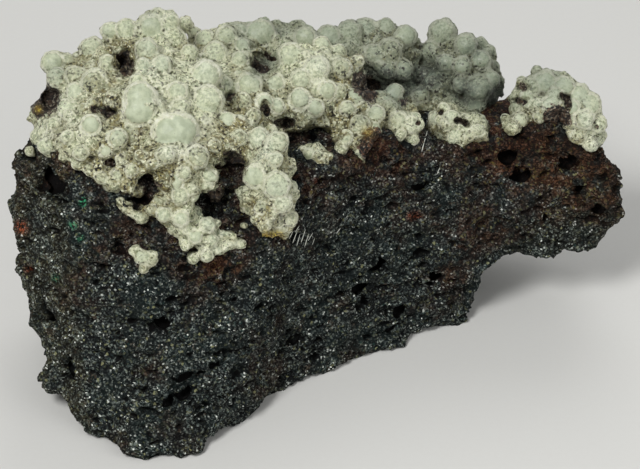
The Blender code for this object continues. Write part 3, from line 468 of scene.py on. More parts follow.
def start_material(name, noises=(), cells=(), marks=(), steps=(), sums=()):
    """A new material and its patterns by name: noises and crystal cells by their size in millimetres, marks
    that are kept on the mesh, soft steps from 0 to 1 between two values of any of these, and sums of one
    times another plus a third, held between 0 and 1 or not."""
    material = bpy.data.materials.new(name)
    material.use_nodes = True
    tree = material.node_tree
    tree.nodes.clear()
    place = add_node(tree, "ShaderNodeTexCoord", out="Object")
    found = {"place": place}
    for key, size, detail, roughness in noises:
        sizes = size if isinstance(size, tuple) else (size, size, size)
        scaled = add_node(tree, "ShaderNodeVectorMath",
                          {0: place, 1: [1 / (part * MM) for part in sizes]}, out=0, operation="MULTIPLY")
        found[key] = add_node(
            tree, "ShaderNodeTexNoise",
            {"Vector": scaled, "Scale": 1.0, "Detail": detail, "Roughness": roughness}, out="Fac")
    for key, size in cells:
        cell = add_node(tree, "ShaderNodeTexVoronoi", {"Vector": place, "Scale": 1 / (size * MM)},
                        out="Color")
        parts = add_node(tree, "ShaderNodeSeparateColor", {0: cell})
        found[key] = parts.outputs["Red"]
        found[key + "_tint"] = parts.outputs["Green"]
    for key in marks:
        found[key] = add_node(tree, "ShaderNodeAttribute", out="Fac", attribute_name=key)
    for key, source, low, high in steps:
        found[key] = add_node(tree, "ShaderNodeMapRange",
                              {"Value": found[source], "From Min": low, "From Max": high},
                              out="Result", interpolation_type="SMOOTHSTEP")
    for key, source, factor, added, held in sums:
        found[key] = add_node(
            tree, "ShaderNodeMath", {0: found[source], 1: pattern(found, factor), 2: pattern(found, added)},
            out=0, operation="MULTIPLY_ADD", use_clamp=held)
    return material, tree, found


def paint_of(colour):
    """A linear colour, from an sRGB hex value or from a setting that is linear already."""
    return linear(colour) if isinstance(colour, str) else tuple(colour)


def lay_coats(tree, found, ground, coats):
    """Lay coats of paint over a ground colour, each as thick as the product of its patterns and numbers."""
    colour = paint_of(ground)
    for paint, *shares in coats:
        amount = 1.0
        for share in shares:
            amount = add_node(tree, "ShaderNodeMath", {0: amount, 1: pattern(found, share)}, out=0,
                              operation="MULTIPLY")
        colour = add_node(tree, "ShaderNodeMix", {0: amount, 6: colour, 7: paint_of(paint)}, out=2,
                          data_type="RGBA")
    return colour


def finish_material(material, tree, shader_inputs):
    """Close a material with its shader and its output."""
    shader = add_node(tree, "ShaderNodeBsdfPrincipled", shader_inputs, out="BSDF")
    add_node(tree, "ShaderNodeOutputMaterial", {"Surface": shader})
    return material


def lava_material(settings):
    """Basaltic lava, cooled with gas in it, then broken and fumed."""
    # A black, glassy ground full of feldspar and olivine grains of 0.1 to 0.3 mm gives a dark surface. Its
    # near-white glints are partly white crystals and partly painted glints, light flashing off crystal faces.
    # The grains lie in faint flow bands. Acid fumes stained it rust-red near the crust, and weather turned it
    # olive on its left face. The finest grains are drawn as 0.18 mm, so that they show.
    material, tree, found = start_material(
        "broken basaltic lava",
        noises=[("mottle", 1.4, 3.0, 0.65), ("patch", 5.0, 2.0, 0.5), ("stain", 2.2, 4.0, 0.7),
                ("crumb", 0.45, 4.0, 0.75), ("band", (3.2, 3.2, 0.9), 3.0, 0.6)],
        cells=[("grain", 0.18), ("clot", 0.28)],
        marks=["pit", "rust", "weather", "orange", "green"],
        steps=[("crumbly", "crumb", 0.36, 0.62), ("patchy", "patch", 0.42, 0.62),
               ("banded", "band", 0.3, 0.55), ("mottled", "mottle", 0.38, 0.62),
               ("stained", "stain", 0.38, 0.58), ("streaked", "stain", 0.56, 0.64),
               # open is where the painted shade of the pits is absent, so crystals show there
               ("open", "pit", 0.75, 0.1), ("grainy", "grain", 0.35, 1.0),
               ("light_grain", "grain", 0.76, 0.94), ("glint", "grain", 0.97, 0.99),
               ("coarse", "clot", 0.55, 1.0), ("big_glint", "clot", 0.985, 0.995),
               ("cool", "grain_tint", 0.62, 0.7), ("warm", "clot_tint", 0.35, 0.28)],
        sums=[("dense", "mottled", "banded", 0.25, True), ("fresh", "rust", -0.75, 1.0, True),
              ("relief", "grain", 0.4, "crumb", False)])
    # Feldspar also grows as thin laths, drawn along the edges of 0.5 mm cells
    edge = add_node(tree, "ShaderNodeTexVoronoi", {"Vector": found["place"], "Scale": 1 / (0.5 * MM)},
                    out="Distance", feature="DISTANCE_TO_EDGE")
    found["lath"] = add_node(tree, "ShaderNodeMapRange", {"Value": edge, "From Min": 0.09, "From Max": 0.03},
                             out="Result")
    colour = lay_coats(tree, found, settings.ground_colour, [
        ("#0D1011", "crumbly"),
        ("#0F1A19", "patchy", 0.6),
        ("#2A1208", "rust", "stained"),
        ("#1F1B0F", "weather", "crumbly"),
        (settings.crystal_colour, "dense", "open", "grainy"),
        ("#5E5E40", "dense", "open", "coarse", "warm", 0.9),
        ("#473423", "streaked", "open", "grainy", 0.8),
        ("#2A4642", "dense", "open", "coarse", "cool", 0.6),
        (settings.rust_colour, "rust", "stained", "grainy", 0.95),
        ("#72602C", "rust", "mottled", "coarse", "warm", 0.9),
        ("#6A603A", "weather", "mottled", "grainy", "open", 0.55),
        ("#868E86", "dense", "open", "light_grain", "fresh", 0.75),
        ("#8E968E", "dense", "open", "lath", "coarse", "fresh", 0.5),
        # Painted glints: near-white and yellowish specks, partly white crystals and partly painted highlights
        ("#E4E8E0", "dense", "open", "glint", "fresh"),
        ("#8C8C66", "open", "big_glint", 0.7),
        ("#0E0807", "rust", "patchy", 0.7),
        ("#5C3A26", "rust", "stained", "light_grain", 0.6),
        # Painted shade: pits and gas holes are painted near-black, darker the deeper they lie
        ("#030202", "pit", 0.9),
        ("#A2481E", "orange", "grainy"),
        ("#38B47C", "green", "grainy"),
    ])
    roughness = add_node(tree, "ShaderNodeMapRange",
                         {"Value": found["light_grain"], "To Min": 0.7, "To Max": 0.35}, out="Result")
    bump = add_node(tree, "ShaderNodeBump",
                    {"Strength": 1.0, "Distance": 0.17 * MM, "Height": found["relief"]}, out="Normal")
    return finish_material(material, tree, {
        "Base Color": colour, "Roughness": roughness, "IOR": 1.5, "Specular IOR Level": 0.12, "Normal": bump})


def salt_material(settings):
    """Sal ammoniac, grown from volcanic gas in rounded, grape-like heaps."""
    # Waxy, half-clear globules get painted light: a grey-green heart for light going into them and a
    # cream-white rim for the sheen at their edge, both laid toward the front view.
    # Between them the crust is sugary: khaki grains of about 0.2 mm, some of them white and some of them
    # specks of rock dust. Where a hollow opens it, the fumed rock shows.
    material, tree, found = start_material(
        "botryoidal sal ammoniac",
        noises=[("crumb", 0.4, 4.0, 0.75), ("mottle", 1.1, 3.0, 0.6), ("cloud", 4.5, 2.0, 0.5)],
        cells=[("grain", 0.2), ("speck", 0.24)],
        marks=["heart", "rim", "crease", "dust", "shade", "hollow", "rust", "yellow", "bright"],
        steps=[("creamy", "crumb", 0.36, 0.62), ("cloudy", "cloud", 0.45, 0.7),
               ("mottled", "mottle", 0.3, 0.58), ("streaky", "mottle", 0.4, 0.65),
               ("grainy", "grain", 0.25, 0.9), ("white_grain", "grain", 0.78, 0.93),
               ("pale_grain", "grain", 0.55, 0.95), ("dark_grain", "speck", 0.2, 0.1),
               ("dull_grain", "speck", 0.45, 0.15), ("warm", "speck_tint", 0.3, 0.8),
               ("creased", "crease", 0.05, 0.8), ("deep_shade", "shade", 0.7, 1.0)],
        # loose is the dust plus the painted shade of the creases
        sums=[("loose", "dust", 1.0, "crease", True), ("off_rim", "rim", -0.8, 1.0, False),
              ("skin", "heart", -1.2, "off_rim", True), ("crumbly_hollow", "crumb", 1.2, "hollow", False),
              ("ragged_hollow", "mottle", 0.9, "crumbly_hollow", False),
              ("relief", "grain", 0.5, "crumb", False)])
    found["bare"] = add_node(tree, "ShaderNodeMapRange",
                             {"Value": found["ragged_hollow"], "From Min": 1.32, "From Max": 1.44},
                             out="Result", interpolation_type="SMOOTHSTEP")
    colour = lay_coats(tree, found, "#939C76", [
        (settings.pale_colour, "creamy"),
        ("#B6C4B6", "cloudy", 0.4),
        ("#5A5D36", "skin", "dull_grain", 0.85),
        ("#FFFFE2", "skin", "pale_grain", 0.95),
        (settings.khaki_colour, "dust", "mottled", 0.9),
        ("#C0B87A", "dust", "mottled", "grainy"),
        ("#7E6C3C", "dust", "mottled", "warm", 0.35),
        ("#FBFBDC", "loose", "white_grain", 0.9),
        # Painted light: white rims for sheen at the globules' edges, grey-green hearts for light going in
        ("#F4F6D4", "rim", 0.8),
        ("#FFFFEA", "rim", "creamy"),
        ("#A6AF94", "heart"),
        ("#C4CCB0", "heart", "streaky", 0.85),
        # Partly clean white crust and partly painted highlight on lit bulges and ridges
        ("#FFFFEA", "bright", "creamy", 0.95),
        # Painted shade: shaded places and the far mass are painted grey-green, the deepest dark olive
        ("#5F6E62", "shade", 0.85),
        ("#3E4038", "deep_shade", "mottled", 0.8),
        ("#A2A892", "shade", "pale_grain", 0.5),
        # Painted shade: the creases between the globules are painted dark khaki-brown
        ("#3A331E", "creased", 0.95),
        ("#2A2A18", "skin", "dark_grain", "streaky", 0.8),
        # Dark specks in dusty places, and in the creases as more painted shade
        ("#1C170D", "loose", "dark_grain", "mottled"),
        # Bare rock in the hollows, partly the rock's own colour and partly painted shade deepening with depth
        ("#14110E", "bare"),
        ("#5E5240", "bare", "grainy", 0.6),
        ("#74401E", "bare", "rust", "grainy", 0.9),
        ("#B4B09C", "bare", "white_grain", 0.5),
        ("#C6A236", "yellow", 0.85),
        ("#241A0E", "yellow", "dull_grain", 0.9),
        ("#F2DC50", "yellow", "pale_grain"),
    ])
    roughness = add_node(tree, "ShaderNodeMapRange",
                         {"Value": found["grain"], "To Min": 0.65, "To Max": 0.3}, out="Result")
    bump_share = add_node(tree, "ShaderNodeMapRange",
                          {"Value": found["heart"], "From Max": 0.6, "To Min": 1.0, "To Max": 0.2},
                          out="Result")
    bump = add_node(tree, "ShaderNodeBump",
                    {"Strength": bump_share, "Distance": 0.4 * MM, "Height": found["relief"]}, out="Normal")
    return finish_material(material, tree, {
        "Base Color": colour, "Roughness": roughness, "IOR": 1.64, "Specular IOR Level": 0.4,
        "Subsurface Weight": 0.1, "Subsurface Radius": (1.0, 0.95, 0.7), "Subsurface Scale": 0.25 * MM,
        "Normal": bump})


def link_mesh(name, mesh):
    """A linked object that holds the mesh."""
    obj = bpy.data.objects.new(name, mesh)
    bpy.context.scene.collection.objects.link(obj)
    return obj


def settle(obj):
    """Replace the object's mesh with what its modifiers give."""
    graph = bpy.context.evaluated_depsgraph_get()
    mesh = bpy.data.meshes.new_from_object(obj.evaluated_get(graph))
    obj.modifiers.clear()
    obj.data = mesh


def fuse(obj, grain):
    """Fuse everything in the object into one skin of even small faces."""
    modifier = obj.modifiers.new("fuse", "REMESH")
    modifier.mode = "VOXEL"
    modifier.voxel_size = grain
    settle(obj)


def thin_out(obj, face_limit, hidden):
    """Bring the object under its limit of triangles, mostly where the weights say that it is hidden."""
    triangles = sum(face.loop_total - 2 for face in obj.data.polygons)
    if triangles <= face_limit:
        return
    group = obj.vertex_groups.new(name="hidden")
    for step in range(HIDDEN_LEVELS + 1):
        level = step / HIDDEN_LEVELS
        members = np.nonzero(np.abs(hidden - level) <= 0.5 / HIDDEN_LEVELS)[0].tolist()
        if members:
            group.add(members, level, "REPLACE")
    modifier = obj.modifiers.new("thin", "DECIMATE")
    modifier.ratio = face_limit / triangles
    modifier.vertex_group = "hidden"
    modifier.vertex_group_factor = 1.0
    settle(obj)
    obj.vertex_groups.clear()


def read_out(items, name, width, kind=np.float32):
    """A row of numbers for each item in one of a mesh's lists."""
    flat = np.empty(len(items) * width, kind)
    items.foreach_get(name, flat)
    return flat.reshape(-1, width)


def points_of(mesh):
    """The mesh's points in millimetres."""
    return read_out(mesh.vertices, "co", 3).astype(float) / MM


def set_points(mesh, points):
    """Move the mesh's points to places given in millimetres."""
    mesh.vertices.foreach_set("co", (points * MM).astype(np.float32).ravel())
    mesh.update()


def normals_of(mesh):
    """The way that each point of the mesh faces."""
    return read_out(mesh.vertex_normals, "vector", 3).astype(float)


def edges_of(mesh):
    """The pairs of points that the mesh's edges join."""
    return read_out(mesh.edges, "vertices", 2, np.int32)


def triangles_of(mesh):
    """The mesh's faces as triangles of point numbers."""
    mesh.calc_loop_triangles()
    return read_out(mesh.loop_triangles, "vertices", 3, np.int32)


def eased(points, edges, rounds, strength=0.5):
    """Points drawn toward the middle of their neighbours, round after round."""
    size = len(points)
    count = np.maximum(np.bincount(edges.ravel(), minlength=size), 1)[:, None]
    for _ in range(rounds):
        total = np.empty_like(points)
        for axis in range(3):
            total[:, axis] = np.bincount(edges[:, 0], points[edges[:, 1], axis], size)
            total[:, axis] += np.bincount(edges[:, 1], points[edges[:, 0], axis], size)
        points = points + strength * (total / count - points)
    return points


def sunk_below(points, edges, normals, rounds):
    """How far each point lies below its surroundings, which are taken wider with each round."""
    return ((eased(points, edges, rounds) - points) * normals).sum(1)


def lumps(points, size, seed, octaves=3, stretch=(1.0, 1.0, 1.0)):
    """Fractal noise of about -1 to 1 at each point, with lumps of the given size in millimetres."""
    offset = Vector([seed * part for part in SEED_STEP])
    places = (points / (np.array(stretch) * size)).tolist()
    return np.array([noise.fractal(Vector(place) + offset, 1.0, 2.0, octaves) for place in places])


def smooth_step(values, low, high):
    """0 below the low value, 1 above the high one, and smooth between."""
    share = np.clip((values - low) / (high - low), 0.0, 1.0)
    return share * share * (3 - 2 * share)


def oval_share(across, up, width, height):
    """How far places are from the middle of an oval of a half width and a half height: 1 at its edge."""
    return (across / width) ** 2 + (up / height) ** 2


def keep_marks(mesh, marks):
    """Keep named values for each point on the mesh, for its material."""
    for name, values in marks.items():
        attribute = mesh.attributes.new(name, "FLOAT", "POINT")
        attribute.data.foreach_set("value", np.clip(values, 0.0, 1.0).astype(np.float32))


def hold_in_box(points):
    """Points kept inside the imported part's box."""
    return np.clip(points, np.array(CAD_BOX[0]) / MM, np.array(CAD_BOX[1]) / MM)


def finder_of(points):
    """A finder of the points near a place."""
    finder = KDTree(len(points))
    for index, point in enumerate(points.tolist()):
        finder.insert(point, index)
    finder.balance()
    return finder


def points_near(finder, place, reach):
    """The numbers of the points within reach of a place."""
    return np.array([index for spot, index, gap in finder.find_range(place, reach)], int)


def tree_of(*node_names):
    """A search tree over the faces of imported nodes, in millimetres."""
    verts = []
    faces = []
    for name in node_names:
        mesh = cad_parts[name].data
        start = len(verts)
        verts.extend(points_of(mesh).tolist())
        faces.extend([start + index for index in face.vertices] for face in mesh.polygons)
    return BVHTree.FromPolygons(verts, faces)


def nearest_gaps(tree, points):
    """How far each point is from a surface, in millimetres."""
    return np.array([tree.find_nearest(Vector(point))[3] for point in points.tolist()])


def toward_view(normals):
    """How squarely each point faces the front view: 1 head on, -1 turned away."""
    return normals @ np.array(TOWARD)


def front_spots(points):
    """Where each point lies on the front view, across and up in millimetres."""
    eye = np.array(AIM + TOWARD * EYE_DISTANCE)
    ray = points - eye
    reach = -(ray @ np.array(TOWARD))
    on_plane = eye + ray * (EYE_DISTANCE / reach)[:, None] - np.array(AIM)
    return on_plane @ np.array(ACROSS), on_plane @ np.array(UPWARD)


def patch_sum(points, patches):
    """The sum of soft round patches that are laid out on the front view."""
    across, up = front_spots(points)
    total = np.zeros(len(points))
    for spot_across, spot_up, reach, amount in patches:
        gap = (across - spot_across) ** 2 + (up - spot_up) ** 2
        total += amount * np.exp(-gap / (reach * reach))
    return total


def sight_line(across, up):
    """The eye's place and the direction of sight through a spot of the front view."""
    eye = AIM + TOWARD * EYE_DISTANCE
    return eye, (AIM + ACROSS * across + UPWARD * up - eye).normalized()


def on_surface(tree, across, up):
    """Where a sight line meets the surface, or passes closest to it, and the surface's normal there."""
    eye, sight = sight_line(across, up)
    place, normal, index, reach = tree.ray_cast(eye, sight)
    if place is not None:
        return place, normal
    best = None
    for step in range(SEARCH_STEPS):
        spot = eye + sight * (EYE_DISTANCE - SEARCH_REACH + 2 * SEARCH_REACH * step / SEARCH_STEPS)
        near, facing, index, gap = tree.find_nearest(spot)
        if best is None or gap < best[0]:
            best = (gap, spot, facing)
    return best[1], best[2]


def ball_shape(detail):
    """The points and triangles of a ball of radius 1."""
    bm = bmesh.new()
    bmesh.ops.create_icosphere(bm, subdivisions=detail, radius=1.0)
    points = np.array([vert.co for vert in bm.verts])
    faces = np.array([[vert.index for vert in face.verts] for face in bm.faces])
    bm.free()
    return points, faces


def mesh_of(name, parts):
    """One mesh from several sets of points in millimetres and triangles."""
    points = np.concatenate([part[0] for part in parts])
    starts = np.cumsum([0] + [len(part[0]) for part in parts[:-1]])
    faces = np.concatenate([part[1] + start for part, start in zip(parts, starts)])
    mesh = bpy.data.meshes.new(name)
    mesh.vertices.add(len(points))
    mesh.loops.add(faces.size)
    mesh.polygons.add(len(faces))
    mesh.loops.foreach_set("vertex_index", faces.astype(np.int32).ravel())
    mesh.polygons.foreach_set("loop_start", np.arange(0, faces.size, 3, dtype=np.int32))
    set_points(mesh, points)
    mesh.update(calc_edges=True)
    mesh.validate()
    return mesh


def loose_parts(count, edges):
    """A number for each point that is the same for all the points of one loose part."""
    label = np.arange(count)
    while True:
        low = np.minimum(label[edges[:, 0]], label[edges[:, 1]])
        lower = label.copy()
        np.minimum.at(lower, edges[:, 0], low)
        np.minimum.at(lower, edges[:, 1], low)
        lower = lower[lower]
        if (lower == label).all():
            return label
        label = lower


def drop_crumbs(mesh, least_volume):
    """Delete the loose parts under a volume in cubic millimetres, which takes in closed hollows inside."""
    points = points_of(mesh)
    faces = triangles_of(mesh)
    label = loose_parts(len(points), edges_of(mesh))
    corners = points[faces]
    volumes = (corners[:, 0] * np.cross(corners[:, 1], corners[:, 2])).sum(1) / 6
    total = np.bincount(label[faces[:, 0]], volumes, len(points))
    crumbs = np.nonzero(total[label] < least_volume)[0].tolist()
    bm = bmesh.new()
    bm.from_mesh(mesh)
    bm.verts.ensure_lookup_table()
    bmesh.ops.delete(bm, geom=[bm.verts[index] for index in crumbs], context="VERTS")
    bm.to_mesh(mesh)
    bm.free()


def balls(centres, radii, detail):
    """Many balls as one set of points and triangles."""
    shape, faces = ball_shape(detail)
    centres = np.asarray(centres, float).reshape(-1, 3)
    radii = np.asarray(radii, float).reshape(-1, 1, 1)
    points = (shape[None] * radii + centres[:, None]).reshape(-1, 3)
    starts = np.arange(len(centres))[:, None, None] * len(shape)
    return points, (faces[None] + starts).reshape(-1, 3)


def smooth_shaded(obj):
    """Shade the whole object smooth."""
    obj.data.polygons.foreach_set("use_smooth", [True] * len(obj.data.polygons))


def finish_shape(obj, face_limit, hidden):
    """Thin the object's hidden faces out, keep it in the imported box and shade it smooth."""
    thin_out(obj, face_limit, hidden)
    set_points(obj.data, hold_in_box(points_of(obj.data)))
    smooth_shaded(obj)


class DentPress:
    """Presses ragged oval dents into a set of points."""

    def __init__(self, points, normals):
        self.normals = normals
        # The rims wander by up to 0.42 mm, and finely by 0.16 mm more
        wide = np.stack([lumps(points, size=1.1, seed=seed) for seed in (41, 42, 43)], 1)
        fine = np.stack([lumps(points, size=0.5, seed=seed, octaves=2) for seed in (44, 45, 46)], 1)
        self.ragged = points + wide * 0.42 + fine * 0.16
        self.depth = np.zeros(len(points))
        self.finder = finder_of(points)

    def press(self, centre, facing, width, height, depth):
        """Press a bowl of the given half width and half height, with its long way level."""
        near = points_near(self.finder, centre, max(width, height) * 1.4)
        facing = Vector(facing).normalized()
        level = Vector((0.0, 0.0, 1.0)).cross(facing)
        if level.length < 0.1:
            level = Vector((1.0, 0.0, 0.0))
        level.normalize()
        rise = facing.cross(level)
        offset = self.ragged[near] - np.array(centre)
        share = oval_share(offset @ np.array(level), offset @ np.array(rise), width, height)
        facing_same = self.normals[near] @ np.array(facing) > 0.1
        bowl = depth * np.clip(1.0 - share, 0.0, 1.0) ** 0.7 * facing_same
        self.depth[near] = np.maximum(self.depth[near], bowl)


def press_gas_holes(points, normals, bubble_count):
    """How deep the gas holes go at each point."""
    press = DentPress(points, normals)
    tree = tree_of("lava")
    chance = random.Random(31)
    for across, up, width, height, depth in GAS_HOLES:
        place, facing = on_surface(tree, across, up)
        press.press(place, facing, width, height, depth)
        for _ in range(SIDE_HOLES):
            size = chance.uniform(*SIDE_HOLE_SHARES)
            place, facing = on_surface(tree, across + chance.uniform(-1.1, 1.1) * width,
                                       up + chance.uniform(-0.8, 0.8) * height)
            press.press(place, facing, width * size, height * size, depth * size)
    numbers = range(len(points))
    for _ in range(bubble_count):
        index = chance.choice(numbers)
        width = BUBBLE_WIDTH + BUBBLE_SPREAD * chance.random() ** 4
        height = width * chance.uniform(*BUBBLE_HEIGHTS)
        depth = width * chance.uniform(*BUBBLE_DEPTHS)
        if points[index][2] > BUBBLE_FLOOR:
            press.press(points[index], normals[index], width, height, depth)
    return press.depth


def lava_relief(points, settings):
    """How far the broken surface stands out at each point, in millimetres: lumps and crumbs that are drawn
    out along the flow, narrow splits and grit."""
    flow = lumps(points, size=2.4, seed=4, stretch=(1.7, 1.7, 0.7))
    crumb = lumps(points, size=0.95, seed=9, stretch=(1.2, 1.2, 0.85))
    split = lumps(points, size=1.5, seed=15, octaves=4, stretch=(2.6, 2.6, 0.7))
    height = settings.lump_height / MM * (flow - 0.15) + settings.crumb_height / MM * crumb
    height -= settings.split_depth / MM * smooth_step(-split, 0.3, 0.62)
    height += settings.grit_height / MM * lumps(points, size=0.55, seed=21, octaves=2)
    return height


def mark_lava(mesh, points, edges, normals, depth):
    """Keep on the block where it is pitted, with painted shade, and rusted, weathered and stained."""
    sunk = sunk_below(points, edges, normals, rounds=10)
    crust_gap = nearest_gaps(tree_of("crust", "crust_cap", "crust_saddle"), points)
    # Rust fades over 2.6 mm from the crust, and the ledge at the right is rusty all over
    near_crust = np.exp(-np.maximum(crust_gap - 0.3, 0.0) / 2.6)
    ledge = smooth_step(points[:, 0], 13.0, 22.0) * smooth_step(points[:, 2], 9.0, 19.0)
    wander = lumps(points, size=6.0, seed=12, octaves=2)
    # The left face is weathered most, and the ledge's end a little
    weather = smooth_step(-normals[:, 0], 0.25, 0.75) * smooth_step(-points[:, 0], 20.0, 29.0)
    weather += 0.5 * smooth_step(points[:, 0], 20.0, 30.0) + 0.3 * wander
    keep_marks(mesh, {
        # Painted shade in the pits and gas holes, from how sunk and how deep each point lies
        "pit": smooth_step(sunk, 0.05, 0.38) + smooth_step(depth, 0.5, 1.2) * 0.7,
        "rust": 0.7 * near_crust + 0.6 * ledge + 0.5 * wander + patch_sum(points, RUST_PATCHES) - 0.12,
        "weather": weather,
        "orange": patch_sum(points, ORANGE_SPOTS),
        "green": patch_sum(points, GREEN_SPOTS),
    })


def build_lava_block(settings):
    """The lava block: broken, crumbly faces with flow-drawn lumps, gas holes and a flat base."""
    block = link_mesh("lava_block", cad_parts["lava"].data.copy())
    block.data.materials.clear()
    fuse(block, settings.grain)
    mesh = block.data
    rough_points = points_of(mesh)
    edges = edges_of(mesh)
    points = eased(rough_points, edges, rounds=14)
    set_points(mesh, points)
    normals = normals_of(mesh)

    depth = press_gas_holes(points, normals, settings.bubble_count)
    points = points + normals * (lava_relief(points, settings) - depth)[:, None]
    points[rough_points[:, 2] < BASE_SKIN, 2] = 0.0
    points = hold_in_box(points)
    set_points(mesh, points)
    mark_lava(mesh, points, edges, normals, depth)
    finish_shape(block, settings.face_limit, smooth_step(-toward_view(normals), -0.05, 0.3))
    block.data.materials.append(lava_material(settings))
    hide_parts("lava")
    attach(block, "root")
    return block


def sow_spots(points, faces, count, chance):
    """Places spread evenly over a mesh by area, with the surface's normal at each."""
    corners = points[faces]
    cross = np.cross(corners[:, 1] - corners[:, 0], corners[:, 2] - corners[:, 0])
    area = np.linalg.norm(cross, axis=1)
    picks = chance.choice(len(faces), count, p=area / area.sum())
    first = chance.random(count)
    second = chance.random(count)
    over = first + second > 1.0
    first = np.where(over, 1.0 - first, first)[:, None]
    second = np.where(over, 1.0 - second, second)[:, None]
    trio = corners[picks]
    places = trio[:, 0] + first * (trio[:, 1] - trio[:, 0]) + second * (trio[:, 2] - trio[:, 0])
    return places, cross[picks] / np.maximum(area[picks], 1e-12)[:, None]


def laid_out_globules(tree, globules, lift):
    """The centre, radius and growth axis of each globule that is laid out on the front view."""
    centres = []
    radii = []
    axes = []
    for across, up, radius in globules:
        place, facing = on_surface(tree, across, up)
        sight = sight_line(across, up)[1]
        # The large ones, over 1 mm, stand less proud
        proud = lift * min(1.0, 2.2 - 1.2 * radius)
        centres.append(place + sight * radius * (1.0 - proud))
        radii.append(radius)
        # Each heart faces the viewer and leans outward
        axes.append((facing.normalized() * 0.5 - sight).normalized())
    return np.array(centres), np.array(radii), np.array(axes)


def globule_gaps(points, centres, radii):
    """How far each point is from the nearest laid-out globule."""
    gaps = np.full(len(points), 9.0)
    for centre, radius in zip(centres, radii):
        gaps = np.minimum(gaps, np.linalg.norm(points - centre, axis=1) - radius)
    return gaps


def sow_beads(points, faces, laid, laid_radii, count, seed):
    """Small globules in the bare places: centre, radius and growth axis of each."""
    chance = np.random.default_rng(seed)
    places, facings = sow_spots(points, faces, count, chance)
    knobs = chance.random(count) < KNOB_SHARE
    radii = np.where(knobs, chance.uniform(*KNOB_RADII, count),
                     BEAD_RADIUS + BEAD_SPREAD * chance.random(count) ** 1.5)
    depth = radii * chance.uniform(*SEAT_SHARES, count)
    centres = places - facings * depth[:, None]
    clear = globule_gaps(centres, laid, laid_radii * 0.97) > 0.0
    keep = clear & (hollow_shares(centres) > 1.2)
    return centres[keep], radii[keep], facings[keep]


def heart_values(points, wander, centres, radii, axes, strengths):
    """The grey heart and the white rim of the globules at each point, which are painted light."""
    finder = finder_of(points)
    heart = np.zeros(len(points))
    rim = np.zeros(len(points))
    for centre, radius, axis, strength in zip(centres, radii, axes, strengths):
        near = points_near(finder, centre, radius * 1.12)
        offset = points[near] - centre
        reach = np.linalg.norm(offset, axis=1)
        share = np.where(reach > radius * 0.82, (offset @ axis) / np.maximum(reach, 1e-9), 0.0)
        share = share + wander[near] * 0.12
        inner = smooth_step(share, *HEART_EDGE)
        ring = smooth_step(share, *RIM_START) * (1.0 - smooth_step(share, *RIM_END))
        heart[near] = np.maximum(heart[near], inner * strength)
        rim[near] = np.maximum(rim[near], ring * (0.45 + 0.55 * strength))
    return heart, rim * (1.0 - heart)


def heart_strengths(centres, radii, chance):
    """How clear the heart of each globule is."""
    across, up = front_spots(centres)
    strengths = chance.uniform(*OTHER_HEARTS, len(radii)) * smooth_step(radii, 0.5, 1.1)
    for spot_across, spot_up, strength in CLEAR_HEARTS:
        gap = np.hypot(across - spot_across, up - spot_up)
        strengths[(gap < HEART_REACH) & (radii > LEAST_HEARTED)] = strength
    return strengths


def hollow_shares(points):
    """How near each point is to the middle line of a hollow: 0 on the line and 1 at the rim."""
    across, up = front_spots(points)
    best = np.full(len(points), 9.0)
    for spot_across, spot_up, width, height, reach in CRUST_HOLLOWS:
        best = np.minimum(best, oval_share(across - spot_across, up - spot_up, width, height))
    return best


def hollow_rock_and_shade(points, tree):
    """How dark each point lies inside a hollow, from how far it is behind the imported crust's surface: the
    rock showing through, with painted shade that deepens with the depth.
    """
    dark = np.zeros(len(points))
    near = np.nonzero(hollow_shares(points) < 1.7)[0]
    gaps = nearest_gaps(tree, points[near])
    dark[near] = smooth_step(gaps, 0.5, 1.5)
    return dark


def open_hollows(points, normals):
    """Points pushed back along the sight line where the crust is hollow."""
    across, up = front_spots(points)
    ragged = lumps(points, size=1.3, seed=51) * 0.45 + lumps(points, size=0.45, seed=52, octaves=2) * 0.45
    facing = toward_view(normals) > -0.3
    depth = np.zeros(len(points))
    for spot_across, spot_up, width, height, reach in CRUST_HOLLOWS:
        share = oval_share(across - spot_across, up - spot_up, width, height) + ragged
        depth = np.maximum(depth, reach * np.sqrt(np.clip(1.0 - share, 0.0, 1.0)) * facing)
    return points - depth[:, None] * np.array(TOWARD)


def press_to_rock(points, normals, rock):
    """Points of the crust's underside drawn just into the rock that it grows on, and which they are."""
    moved = points.copy()
    under = np.zeros(len(points))
    for index, point in enumerate(points.tolist()):
        spot = Vector(point)
        place, facing, number, gap = rock.find_nearest(spot, ROCK_REACH)
        if place is None:
            continue
        toward_rock = (place - spot).normalized()
        facing_rock = toward_rock.dot(normals[index])
        if facing_rock > -0.1:
            share = min(1.0, max(0.0, (ROCK_REACH - gap) / ROCK_FADE))
            moved[index] = spot + toward_rock * (gap + ROOT_DEPTH) * share
            under[index] = share if facing_rock > 0.3 else 0.0
    return moved, under


def crust_balls(laid, laid_radii, sown, sown_radii):
    """The laid-out and the sown globules as sets of points and triangles, the larger ones in finer faces."""
    swollen = laid_radii * SWELL_SHARE
    groups = [(laid, swollen, laid_radii > 1.0, 4), (laid, swollen, laid_radii <= 1.0, 3),
              (sown, sown_radii, sown_radii > 0.42, 3), (sown, sown_radii, sown_radii <= 0.42, 2)]
    return [balls(centres[chosen], radii[chosen], detail)
            for centres, radii, chosen, detail in groups if chosen.any()]


def crust_body(node_name):
    """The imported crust, eased and spread with small even faces: its points, triangles and normals."""
    body = link_mesh(node_name + "_body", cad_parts[node_name].data.copy())
    fuse(body, BODY_GRAIN * MM)
    mesh = body.data
    points = eased(points_of(mesh), edges_of(mesh), rounds=3)
    set_points(mesh, points)
    faces = triangles_of(mesh)
    normals = normals_of(mesh)
    bpy.data.objects.remove(body, do_unlink=True)
    return points, faces, normals


